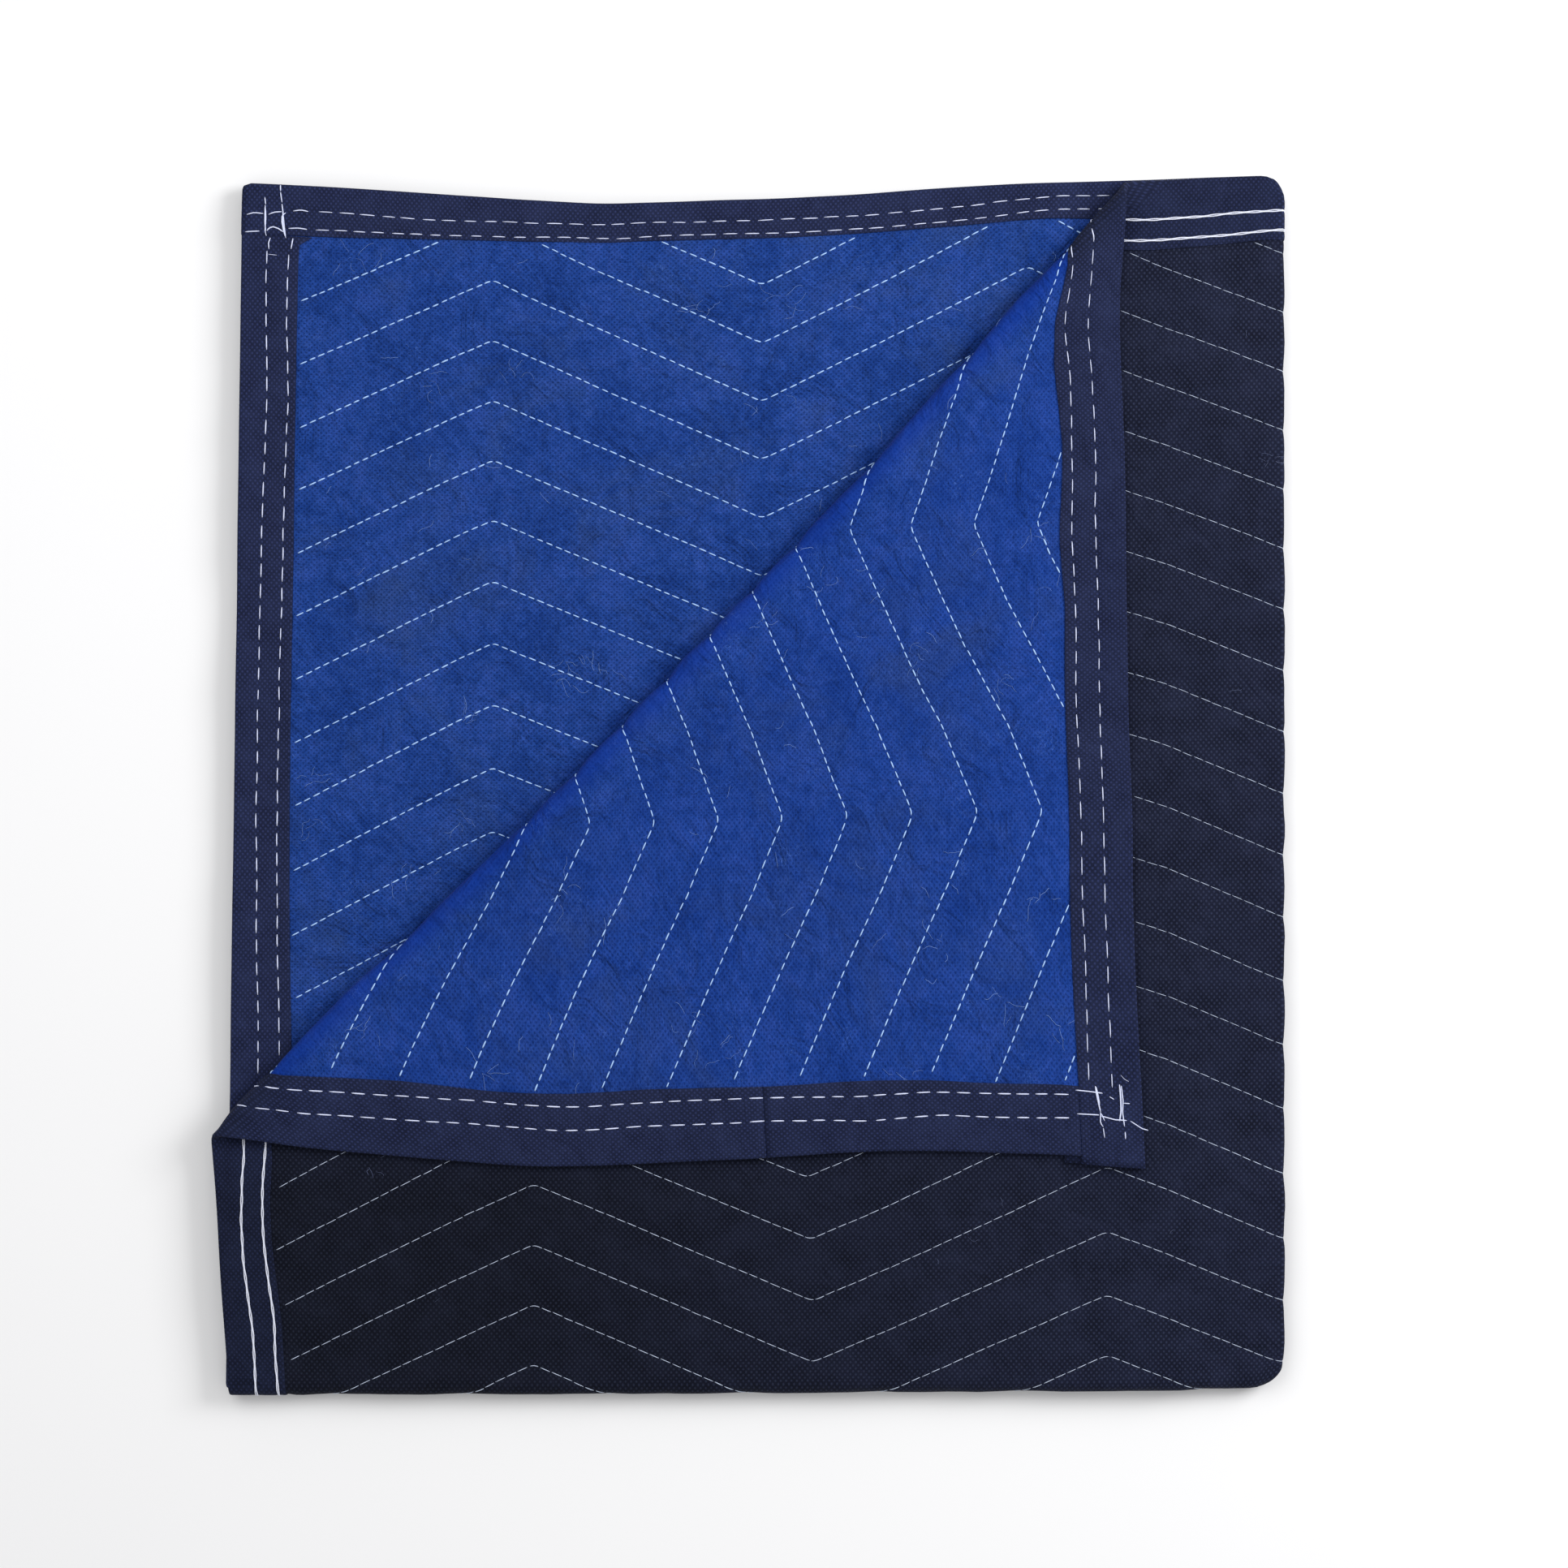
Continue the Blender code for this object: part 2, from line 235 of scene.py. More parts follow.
TAPE_RIPPLE = 0.26 * MM
TAPE_EDGE_DROP = 0.3 * MM
TAPE_EDGE_REACH = 0.8 * MM
STITCH_DENT = 0.55 * MM
DENT_REACH = 1.7 * MM
LINING_POINTS = 7
LINING_START = 1.5 * MM
LINING_TURN = 1.0 * MM
# Points of a tape's section, as shares of the way in, and the shares at its edge, rows and rim
SECTION = (
    0.0, 0.008, 0.02, 0.045, 0.1, 0.2, 0.3, 0.36, 0.385, 0.4, 0.415, 0.44, 0.52, 0.62, 0.7, 0.735,
    0.75, 0.765, 0.8, 0.88, 0.96, 0.992, 1.0,
)
SECTION_ROWS = (0.0, 0.4, 0.75, 1.0)
TAPE_STATION = 7 * MM
TAPE_JOIN = 331 * MM
LEFT_START = 44.7 * MM
RIGHT_START = 55.4 * MM
BUTT = 52.3 * MM
OVERHANG = 6.2 * MM
GAP = 0.3 * MM

# The folded stack
BACK_ROUND = 20 * MM
FRONT_ROUND = 30 * MM
FRONT_RAISED = ((0, 0), (400, 1), (800, 4), (886, 6))
FRONT_REACH = (880 * MM, 1034 * MM)
STACK_WAVES = 1.3 * MM
STACK_LOOSE = 14 * MM
DROOP = 5 * MM
DROOP_REACH = 45 * MM

# Soft waves: the shortest and the longest in metres, and how many are summed
PULL_MIX = (0.025, 0.09, 18)
FLAP_MIX = (0.25, 0.6, 6)
STACK_MIX = (0.07, 0.22, 16)
RIPPLE_MIX = (0.012, 0.06, 18)
ROW_MIX = (0.03, 0.14, 8)

# Thread: the length of a stitch, the gap after it and, for the quilting, the thread's radius
BLUE_QUILTING = (6.1 * MM, 2.5 * MM, 0.6 * MM)
NAVY_QUILTING = (8.6 * MM, 1.5 * MM, 0.3 * MM)
LOCKSTITCH = (12 * MM, 6 * MM)
LOCKSTITCH_SWAY = 0.25 * MM
CHAINSTITCH_SWAY = 0.45 * MM
CHAINSTITCH_BEAT = 17 * MM
CHAINSTITCH_RADIUS = 0.48 * MM
STITCH_ARCH = (-0.15, 0.55, 0.75, 0.55, -0.15)
NEEDLE_WANDER = 0.12 * MM
QUILTED_ROWS = range(-3, 22)
QUILTING_END = 1760 * MM
TAPE_CLEAR = 0.6 * MM
ROW_STEP = 3 * MM
TAPE_ROW_STEP = 2.5 * MM

# View and floor
CAMERA_PLACE = (0.0315, 0.0015, 3.02)
CAMERA_SENSOR = 36.0
CAMERA_LENS = 81.4
WORLD_STRENGTH = 0.55
FLOOR_SIZE = 30
FLOOR_DROP = 0.4 * MM


def column(table, index):
    """Read one column of a table that is written in millimetres."""
    return np.array([row[index] for row in table], float) * MM


def along(table, x, index=1, soften=0.0):
    """Read a table between its rows, with its corners softened over a length."""
    places, values = column(table, 0), column(table, index)
    if soften == 0.0:
        return np.interp(x, places, values)
    reach = np.linspace(-soften, soften, 7)
    return np.mean([np.interp(x + step, places, values) for step in reach], axis=0)


def ramp(x, start, end):
    """Go from 0 at start to 1 at end."""
    return np.clip((x - start) / (end - start), 0.0, 1.0)


def waves(u, v, shortest, longest, count, seed):
    """Sum soft waves of mixed lengths and headings, about -1 to 1."""
    draw = np.random.default_rng(seed)
    total = np.zeros(np.shape(u))
    for length, heading, phase in zip(
        draw.uniform(shortest, longest, count),
        draw.uniform(0, math.pi, count),
        draw.uniform(0, 2 * math.pi, count),
    ):
        total += np.sin((u * math.cos(heading) + v * math.sin(heading)) * 2 * math.pi / length + phase)
    return total / math.sqrt(count)


# Laying out and folding

def round_corner(x, y, corner, size):
    """Draw a square corner in to a round one; corner is its point and size its signed reach."""
    a = 1 - np.clip((x - corner[0]) / size[0], 0.0, 1.0)
    b = 1 - np.clip((y - corner[1]) / size[1], 0.0, 1.0)
    near = (a > 0) & (b > 0) & (a <= 1) & (b <= 1)
    new_x = corner[0] + size[0] * (1 - a * np.sqrt(1 - b * b / 2))
    new_y = corner[1] + size[1] * (1 - b * np.sqrt(1 - a * a / 2))
    return np.where(near, new_x, x), np.where(near, new_y, y)


def slip(u, v):
    """Move points of the flat sheet by what its edges are out of square."""
    u, v = round_corner(u, v, (0.0, 0.0), (SHEET_ROUND, SHEET_ROUND))
    in_left = along(LEFT_EDGE, v, soften=20 * MM) * ramp(u, *LEFT_REACH)
    out_right = along(RIGHT_EDGE, v, soften=25 * MM) * ramp(u, *RIGHT_REACH)
    down = along(TOP_EDGE, u, soften=25 * MM) * (1 - ramp(v, 0.0, UNDER_FOLD))
    down += along(TOP_TRIM, u, soften=15 * MM) * (1 - ramp(v, *TRIM_REACH))
    return u + in_left + out_right, v + down


def corner_start():
    """Give a point on the line where the turned corner starts to lift."""
    return CORNER_POINT - CORNER_OUT * (CORNER_RADIUS + CREST)


def creep(x, y, past, rolled):
    """Pull the turned corner to the left, most at its top, and lift its heel."""
    bow = along(FOLD_BOW, -y, soften=12 * MM)
    pull = along(FLAP_PULL, -y, soften=20 * MM)
    inward = ramp(past, rolled, rolled + along(PULL_REACH, -y))
    left = (bow + (pull - bow) * inward) * ramp(past, 0.0, rolled / 2)
    near = np.exp(-((x - HEEL[0]) ** 2 + (y - HEEL[1]) ** 2) / HEEL_REACH ** 2)
    return x - left, y + near * HEEL_RISE * ramp(past, 0.0, rolled / 2)


def fold_corner(x, y, z, top, stitched):
    """Roll the free corner of the top layer back over it, and let it settle."""
    start = corner_start()
    past = (x - start[0]) * CORNER_OUT[0] + (y - start[1]) * CORNER_OUT[1]
    level = (x - start[0]) * -CORNER_OUT[1] + (y - start[1]) * CORNER_OUT[0]
    past = np.where(top, past, -1.0)
    full = math.pi + SETTLE_ANGLE
    rolled = CORNER_RADIUS * full
    drop = CORNER_RADIUS * (1 + math.cos(SETTLE_ANGLE)) - PITCH
    radius = drop / (1 - math.cos(SETTLE_ANGLE))
    settled = radius * SETTLE_ANGLE
    first = np.clip(past / CORNER_RADIUS, 0.0, full)
    turn = first - np.clip(past - rolled, 0.0, settled) / radius
    out = CORNER_RADIUS * np.sin(first) - radius * (np.sin(turn) - np.sin(first))
    up = CORNER_RADIUS * (1 - np.cos(first)) + radius * (np.cos(turn) - np.cos(first))
    out -= np.maximum(0.0, past - rolled - settled)
    out -= ROLL_DRAWN_IN * stitched * np.sin(np.clip(first, 0.0, math.pi)) ** 2
    lift = z - PITCH
    shift = np.where(past > 0, out - lift * np.sin(turn) - past, 0.0)
    height = PITCH + up + lift * np.cos(turn)
    free = ramp(past, rolled + settled, rolled + settled + FLAP_REACH)
    height = height + free * (0.9 + waves(level, past, *FLAP_MIX, SEED)) * FLAP_LOFT
    crept_x, crept_y = creep(x + CORNER_OUT[0] * shift, y + CORNER_OUT[1] * shift, past, rolled)
    turned = past > 0
    return np.where(turned, crept_x, x), np.where(turned, crept_y, y), np.where(turned, height, z)


def z_floor():
    """Give where the floor is before the folded sheet is moved into the frame."""
    return -(UNDER_RADIUS + OUTER_RADIUS + CREST)


def stitched_down(u, v):
    """Go from 1 on a quilting row to 0 between rows."""
    row = row_number(u, v)
    return (1 - 2 * np.abs(row - np.round(row))) ** 2


def fold(u, v, w):
    """Carry points of the flat sheet, w above its middle, through all the folds."""
    top = u > SIDE_END
    stitched = stitched_down(u, v)
    u, v = slip(u, v)
    turn = np.clip((u - SIDE_FOLD) / SIDE_RADIUS, 0.0, math.pi)
    reach = SIDE_RADIUS - w
    x = np.minimum(u, SIDE_FOLD) + reach * np.sin(turn) - np.maximum(0.0, u - SIDE_END)
    z = SIDE_RADIUS - reach * np.cos(turn)
    x, y, z = fold_corner(x, -v, z, top, stitched)
    down = -y - UNDER_FOLD
    turn = np.clip(down / OUTER_RADIUS, 0.0, math.pi)
    reach = z + UNDER_RADIUS
    under = -UNDER_FOLD - reach * np.sin(turn) + np.maximum(0.0, down - math.pi * OUTER_RADIUS)
    y = np.where(down > 0, under, y)
    z = np.where(down > 0, reach * np.cos(turn) - UNDER_RADIUS, z)
    right = SIDE_FOLD + SIDE_RADIUS + CREST
    low = -UNDER_FOLD - OUTER_RADIUS - CREST
    x, y = round_corner(x, y, (right, 0.0), (-BACK_ROUND, -BACK_ROUND))
    x, y = round_corner(x, y, (right, low), (-FRONT_ROUND, FRONT_ROUND))
    y = y + along(FRONT_RAISED, x) * ramp(-y, *FRONT_REACH)
    clear = ramp(z - z_floor(), 2 * CREST, STACK_LOOSE)
    z = z + clear * waves(x, y, *STACK_MIX, SEED + 3) * STACK_WAVES
    z = z - clear * DROOP * ramp(y, -DROOP_REACH, 0.0) ** 2
    return np.stack((x, y, z), axis=-1) + MOVE


def frame_move():
    """Find where the frame's solids put the folded sheet."""
    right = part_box("binding_bottom")[1].x - (SIDE_FOLD + SIDE_RADIUS + CREST)
    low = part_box("binding_right_lower")[0].y + UNDER_FOLD + OUTER_RADIUS + CREST
    return np.array((right, low, UNDER_RADIUS + OUTER_RADIUS + CREST))


MOVE = frame_move()


def zigzag(u, row):
    """Give how far down a quilting row lies for its zigzag alone."""
    return along(ZIGZAG, u + along(APEX_SHIFT, u) * ramp(row, *APEX_ROWS), soften=4 * MM)


def row_drift(u, row):
    """Give how far a quilting row has wandered from even spacing."""
    places = column(DRIFT, 0)
    u, row = np.broadcast_arrays(u, row)
    drifts = np.stack([np.interp(u, places, column(DRIFT, i + 1)) for i in range(len(DRIFT_ROWS))])
    at = np.interp(row, DRIFT_ROWS, range(len(DRIFT_ROWS)))
    first = np.minimum(at.astype(int), len(DRIFT_ROWS) - 2)
    lower = np.take_along_axis(drifts, first[None], axis=0)[0]
    upper = np.take_along_axis(drifts, first[None] + 1, axis=0)[0]
    return lower + (upper - lower) * (at - first)


def row_number(u, v):
    """Give which quilting row a point is on, with fractions between rows."""
    row = (v - FIRST_ROW - zigzag(u, 0)) / ROW_PITCH
    for _ in range(5):
        row = (v - FIRST_ROW - zigzag(u, row) - row_drift(u, row)) / ROW_PITCH
    return row


def row_at(u, row):
    """Give the v of a quilting row."""
    return FIRST_ROW + row * ROW_PITCH + zigzag(u, row) + row_drift(u, row)


def tape_covers(u, v, side):
    """Tell how far inside the tapes' inner edges a point lies; negative is under a tape."""
    index = 1 if side > 0 else 2
    return np.minimum.reduce((
        v - along(TAPE_TOP, u, index),
        u - along(TAPE_LEFT, v, index),
        SHEET_WIDTH - u - along(TAPE_RIGHT, v, index),
        SHEET_LENGTH - v - along(TAPE_BOTTOM, u, index),
    ))


def cloth_height(u, v, side):
    """Give how high a quilted cloth's outer face lies over the middle of the sheet."""
    row = row_number(u, v)
    apart = np.abs(row - np.round(row)) * 2
    puff = (1 - (1 - apart) ** PUFF_POWERS[0]) ** PUFF_POWERS[1]
    field = STITCHED + (CREST - STITCHED) * puff
    pull = waves(u, v, *PULL_MIX, SEED + side) * PULL_MARKS * (0.25 + puff)
    field = np.minimum(field + pull, CREST + PULL_PROUD * (v < UNDER_FOLD - 20 * MM))
    return RIM + (field - RIM) * ramp(tape_covers(u, v, side), *SHOULDER)


def cut(bm, point, normal, clear=False):
    """Cut a flat piece along a line, and drop what lies beyond it when clear is set."""
    geom = bm.verts[:] + bm.edges[:] + bm.faces[:]
    bmesh.ops.bisect_plane(
        bm, geom=geom, dist=0.05 * MM, plane_co=point, plane_no=normal, clear_outer=clear
    )


def flat_layers(bm):
    """Add the layers that keep each point's place on the flat sheet."""
    return [bm.verts.layers.float.new(name) for name in ("flat_u", "flat_v", "flat_w")]


def keep_flat(bm, layers):
    """Note each point's flat place, and move it by what the edges are out of square."""
    points = np.array([vert.co for vert in bm.verts])
    u, v = slip(points[:, 0], points[:, 1])
    for vert, place, new_u, new_v in zip(bm.verts, points, u, v):
        for layer, value in zip(layers, place):
            vert[layer] = value
        vert.co = (new_u, new_v, place[2])


def cut_bends(bm):
    """Cut a flat piece on fine lines where the sheet bends."""
    for u in np.linspace(SIDE_FOLD, SIDE_END, SIDE_CUTS):
        cut(bm, (u, 0, 0), (1, 0, 0))
    for v in np.linspace(UNDER_FOLD, UNDER_END, UNDER_CUTS):
        cut(bm, (0, v, 0), (0, 1, 0))
    start = corner_start()
    for line in np.linspace(0.0, CORNER_RADIUS * (math.pi + SETTLE_ANGLE), CORNER_CUTS):
        x, y = start + CORNER_OUT * line
        cut(bm, (SIDE_FOLD + SIDE_END - x, -y, 0), (-CORNER_OUT[0], -CORNER_OUT[1], 0))


def shade_and_tone_at(u, v, w):
    """Give the painted shade and tone: painted shade along the turned fold and towards the far edge, a
    little deeper blue over the turned corner, and the darker, greyer tone of the tapes' navy side.
    """
    past = plan_past(u, v)
    roll = CORNER_RADIUS * math.pi / 2
    inner = np.where(u > SIDE_END, past - roll, -past - 2 * CORNER_RADIUS)
    # painted shade: a deeper, more saturated blue along both sides of the turned fold, for the shade and
    # bounced light in its crevice
    fold_shade = 0.7 * np.exp(-(np.maximum(0.0, np.abs(inner) - 5 * MM) / (15 * MM)) ** 2)
    # painted shade: darker towards the far edge, in the lee of the turned corner; the tapes' navy side has
    # a darker tone as its own colour
    far_shade_and_tape_tone = ramp(u, 980 * MM, 1560 * MM) * ramp(v, 700 * MM, 860 * MM)
    far_shade_and_tape_tone = np.maximum(far_shade_and_tape_tone, np.where(tape_covers(u, v, -1) < 0, 0.5, 0.0))
    turned = np.where(u > SIDE_END, 0.2 * ramp(past, 0.0, 60 * MM), 0.0)
    return np.where(w > 0, np.maximum(fold_shade, turned), far_shade_and_tape_tone)


def fold_mesh(bm, layers):
    """Fold a flat piece, and lay its UV map out as the flat sheet."""
    flat = np.array([[vert[layer] for layer in layers] for vert in bm.verts])
    folded = fold(flat[:, 0], flat[:, 1], flat[:, 2])
    # each point keeps the painted shade and tone that the materials read
    shade_and_tone_layer = bm.verts.layers.float.new("painted_shade_and_tone")
    painted_shade_and_tone = shade_and_tone_at(flat[:, 0], flat[:, 1], flat[:, 2])
    for vert, place, share in zip(bm.verts, folded, painted_shade_and_tone):
        vert.co = place
        vert[shade_and_tone_layer] = share
    uv = bm.loops.layers.uv.new("flat")
    for face in bm.faces:
        for loop in face.loops:
            loop[uv].uv = (loop.vert[layers[0]], loop.vert[layers[1]])
    bmesh.ops.recalc_face_normals(bm, faces=bm.faces[:])


def finish_piece(name, bm, cloth):
    """Make a piece from its mesh, smooth it, and let it ride on the frame."""
    mesh = bpy.data.meshes.new(name)
    bm.to_mesh(mesh)
    bm.free()
    mesh.materials.append(cloth)
    mesh.shade_smooth()
    piece = bpy.data.objects.new(name, mesh)
    bpy.context.scene.collection.objects.link(piece)
    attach(piece, "root")
    return piece


# Quilted cloths

def quilting_lines():
    """List the lines that follow the rows, closer together near the thread, as row numbers."""
    lines = []
    for row in range(-ROWS_ABOVE, ROWS_BELOW):
        upper = FIRST_ROW + row * ROW_PITCH < UNDER_END
        steps = UPPER_STEPS if upper else LOWER_STEPS
        lines += [row + step * MM / ROW_PITCH for step in steps]
    return sorted(lines)


def quilted_cloth(side):
    """Lay out one cloth on lines that follow the quilting, give it its puff, and fold it."""
    bm = bmesh.new()
    lines = quilting_lines()
    places = np.arange(-COLUMN, SHEET_WIDTH + 2 * COLUMN, COLUMN)
    apexes = column(ZIGZAG, 0)[1:-1]
    for apex in apexes:
        places[np.abs(places - apex).argmin()] = apex
    across, rows = np.meshgrid(places, lines)
    down = row_at(across, rows)
    bmesh.ops.create_grid(bm, x_segments=len(places) - 1, y_segments=len(lines) - 1, size=1.0)
    verts = sorted(bm.verts, key=lambda vert: (round(vert.co.y, 4), vert.co.x))
    for vert, u, v in zip(verts, across.flat, down.flat):
        vert.co = (u, v, 0)
    cut(bm, (PANEL_INSET, 0, 0), (-1, 0, 0), clear=True)
    cut(bm, (SHEET_WIDTH - PANEL_INSET, 0, 0), (1, 0, 0), clear=True)
    cut(bm, (0, PANEL_INSET, 0), (0, -1, 0), clear=True)
    cut(bm, (0, SHEET_LENGTH - PANEL_INSET, 0), (0, 1, 0), clear=True)
    layers = flat_layers(bm)
    keep_flat(bm, layers)
    cut_bends(bm)
    bmesh.ops.remove_doubles(bm, verts=bm.verts[:], dist=0.4 * MM)
    inner = bm.verts[:]
    grown = bmesh.ops.extrude_face_region(bm, geom=bm.faces[:])["geom"]
    outer = [item for item in grown if isinstance(item, bmesh.types.BMVert)]
    flat = np.array([[vert[layer] for layer in layers] for vert in outer])
    heights = side * cloth_height(flat[:, 0], flat[:, 1], side)
    for vert in inner:
        vert[layers[2]] = side * INNER_FACE
    for vert, height in zip(outer, heights):
        vert[layers[2]] = height
    fold_mesh(bm, layers)
    return bm


# Binding tapes

def tape_surface(into, width, outer_row, inner_row):
    """Give the height of a tape's outer face at a distance in from the edge."""
    edge = np.clip(1 - into / TAPE_ROUND, 0.0, 1.0)
    height = CREST * np.sqrt(1 - edge ** 2)
    for row in (outer_row, inner_row):
        height = height - STITCH_DENT * np.exp(-((into - row) / DENT_REACH) ** 2)
    return height - TAPE_EDGE_DROP * ramp(into, width - TAPE_EDGE_REACH, width)


def tape_section(table, place):
    """Give a closed section of a tape, as distances in from the edge and heights."""
    shares = np.array(SECTION)
    loops = []
    for index in (1, 2):
        width = along(table, place, index)
        outer_row, inner_row = along(table, place, 3), along(table, place, 4)
        into = np.interp(shares, SECTION_ROWS, (0.0, outer_row, inner_row, width))
        height = tape_surface(into, width, outer_row, inner_row)
        loops.append((into, height, width))
    (face, rise, face_width), (back, fall, back_width) = loops
    lining = CREST - TAPE_THICK
    back_lining = np.linspace(back_width, LINING_START, LINING_POINTS)
    face_lining = np.linspace(LINING_START, face_width, LINING_POINTS)
    flat_run = np.full(LINING_POINTS, lining)
    into = np.concatenate((face[::-1], back[1:], back_lining, (TAPE_THICK, TAPE_THICK), face_lining))
    height = np.concatenate((rise[::-1], -fall[1:], -flat_run, (-LINING_TURN, LINING_TURN), flat_run))
    return into, height


def binding(place_at, table, start, end, seed):
    """Fold one length of tape over an edge; place_at turns place and depth to u and v."""
    count = round((end - start) / TAPE_STATION)
    stations = np.linspace(start, end, count + 1)
    sections = [tape_section(table, place) for place in stations]
    around = len(sections[0][0])
    bm = bmesh.new()
    bmesh.ops.create_grid(bm, x_segments=around, y_segments=count, size=1.0)
    verts = sorted(bm.verts, key=lambda vert: (round(vert.co.y, 4), vert.co.x))
    for i, vert in enumerate(verts):
        station, point = divmod(i, around + 1)
        into, height = (values[point % around] for values in sections[station])
        u, v = place_at(stations[station], into)
        vert.co = (u, v, height)
    bmesh.ops.remove_doubles(bm, verts=bm.verts[:], dist=0.01 * MM)
    bmesh.ops.holes_fill(bm, edges=bm.edges[:])
    layers = flat_layers(bm)
    keep_flat(bm, layers)
    cut_bends(bm)
    flat = np.array([[vert[layer] for layer in layers] for vert in bm.verts])
    ripple = waves(flat[:, 0], flat[:, 1], *RIPPLE_MIX, seed) * TAPE_RIPPLE
    proud = np.abs(flat[:, 2]) > CREST - 0.9 * TAPE_THICK
    floor_side = (flat[:, 1] > UNDER_FOLD) & (flat[:, 2] < 0)
    ripple = np.where(proud, np.where(floor_side, -np.abs(ripple), ripple), 0.0)
    for vert, w, more in zip(bm.verts, flat[:, 2], ripple):
        vert[layers[2]] = w + math.copysign(1, w) * more
    fold_mesh(bm, layers)
    return bm


def on_top_edge(place, into):
    return place, into


def on_bottom_edge(place, into):
    return place, SHEET_LENGTH - into


def on_left_edge(place, into):
    return into, place


def on_right_edge(place, into):
    return SHEET_WIDTH - into, place


# Thread

def tube(bm, layers, path, radius, sides):
    """Add a closed tube of thread along a path of flat points, tapered at its ends."""
    path = np.asarray(path)
    ahead = np.gradient(path[:, :2], axis=0)
    ahead /= np.maximum(np.linalg.norm(ahead, axis=1, keepdims=True), 1e-9)
    across = np.stack((-ahead[:, 1], ahead[:, 0]), axis=1)
    rings = []
    for i, (point, side) in enumerate(zip(path, across)):
        thick = radius * (0.6 if i in (0, len(path) - 1) else 1.0)
        ring = []
        for j in range(sides):
            angle = 2 * math.pi * j / sides
            u, v = point[:2] + side * thick * math.cos(angle)
            vert = bm.verts.new((0, 0, 0))
            vert[layers[0]] = u
            vert[layers[1]] = v
            vert[layers[2]] = point[2] + thick * math.sin(angle)
            ring.append(vert)
        rings.append(ring)
    for ring, following in zip(rings, rings[1:]):
        for j in range(sides):
            k = (j + 1) % sides
            bm.faces.new((ring[j], ring[k], following[k], following[j]))
    bm.faces.new(rings[0][::-1])
    bm.faces.new(rings[-1])


def arc_places(path):
    """Give the length along a path of flat points up to each point."""
    steps = np.linalg.norm(np.diff(path[:, :2], axis=0), axis=1)
    return np.concatenate(((0.0,), np.cumsum(steps)))


def sew(bm, layers, path, height, side, gauge, draw, seen, sides=5):
    """Sew dashes along a path; height gives the cloth's face and seen picks what shows."""
    stitch, hole, radius = gauge
    places = arc_places(path)
    at = draw.uniform(0, 0.3) * stitch
    while at + 0.5 * stitch < places[-1]:
        length = min(stitch * draw.uniform(0.86, 1.1), places[-1] - at)
        steps = at + np.linspace(0, length, len(STITCH_ARCH))
        u = np.interp(steps, places, path[:, 0]) + draw.normal(0, NEEDLE_WANDER)
        v = np.interp(steps, places, path[:, 1]) + draw.normal(0, NEEDLE_WANDER)
        at += length + hole * draw.uniform(0.8, 1.25)
        if not seen(u[2], v[2]):
            continue
        w = side * (height(u, v) + np.array(STITCH_ARCH) * radius)
        tube(bm, layers, np.stack((u, v, w), axis=1), radius * draw.uniform(0.88, 1.1), sides)


def plan_past(u, v):
    """Give how far points of the flat sheet lie beyond the line where the corner lifts."""
    u, v = slip(np.asarray(u), np.asarray(v))
    x = np.where(u > SIDE_END, SIDE_FOLD + SIDE_END - u, u)
    start = corner_start()
    return (x - start[0]) * CORNER_OUT[0] + (-v - start[1]) * CORNER_OUT[1]


def face_shows(u, v):
    """Tell whether a point of the blue side lies open to view."""
    return plan_past(u, v) > (-25 * MM if u < SIDE_FOLD else -12 * MM)


def back_shows(u, v):
    """Tell whether a point of the navy side lies open to view."""
    return plan_past(u, v) < 14 * MM


def row_path(row, start):
    """Give a quilting row as flat points, from a place across the sheet."""
    u = np.arange(start, QUILTING_END, ROW_STEP)
    return np.stack((u, row_at(u, row)), axis=1)


def quilting_thread(side, start, gauge, seen):
    """Sew the quilting rows that show on one side of the sheet."""
    bm = bmesh.new()
    layers = flat_layers(bm)
    draw = np.random.default_rng(SEED + 5 + side)
    stitch, hole, radius = gauge

    def height(u, v):
        return cloth_height(u, v, side)

    for row in QUILTED_ROWS:
        thick = radius * (0.8 if side < 0 and row < APEX_ROWS[0] else 1.0)
        path = row_path(row, start)
        bare = tape_covers(path[:, 0], path[:, 1], side) > TAPE_CLEAR
        bare &= path[:, 1] < UNDER_END
        changes = np.flatnonzero(np.diff(bare.astype(int))) + 1
        for run in np.split(np.arange(len(path)), changes):
            if len(run) > 3 and bare[run[0]]:
                sew(bm, layers, path[run], height, side, (stitch, hole, thick), draw, seen)
    fold_mesh(bm, layers)
    return bm


def tape_row(place_at, table, row_index, start, end, sway, seed):
    """Give a row of stitches on a tape as flat points."""
    places = np.arange(start, end, TAPE_ROW_STEP)
    into = along(table, places, row_index, soften=15 * MM)
    into = into + waves(places, places * 0, *ROW_MIX, seed) * sway
    return np.stack(place_at(places, into), axis=1)


def tape_face(u, v):
    """Give the height of a tape's face at its rows of stitches."""
    return np.full(np.shape(u), CREST - STITCH_DENT)


def lockstitch_thread(seen):
    """Sew the two dashed rows that show on the tapes' blue side."""
    bm = bmesh.new()
    layers = flat_layers(bm)
    draw = np.random.default_rng(SEED + 21)
    runs = (
        (on_top_edge, TAPE_TOP, 62 * MM, SHEET_WIDTH - 59 * MM, 0.44 * MM),
        (on_left_edge, TAPE_LEFT, 58 * MM, UNDER_FOLD, 0.5 * MM),
        (on_right_edge, TAPE_RIGHT, 62 * MM, 900 * MM, 0.56 * MM),
    )
    for number, (place_at, table, start, end, radius) in enumerate(runs):
        for row_index in (3, 4):
            seed = SEED + number * 3 + row_index
            path = tape_row(place_at, table, row_index, start, end, LOCKSTITCH_SWAY, seed)
            sew(bm, layers, path, tape_face, 1, (*LOCKSTITCH, radius), draw, seen, sides=6)
    fold_mesh(bm, layers)
    return bm


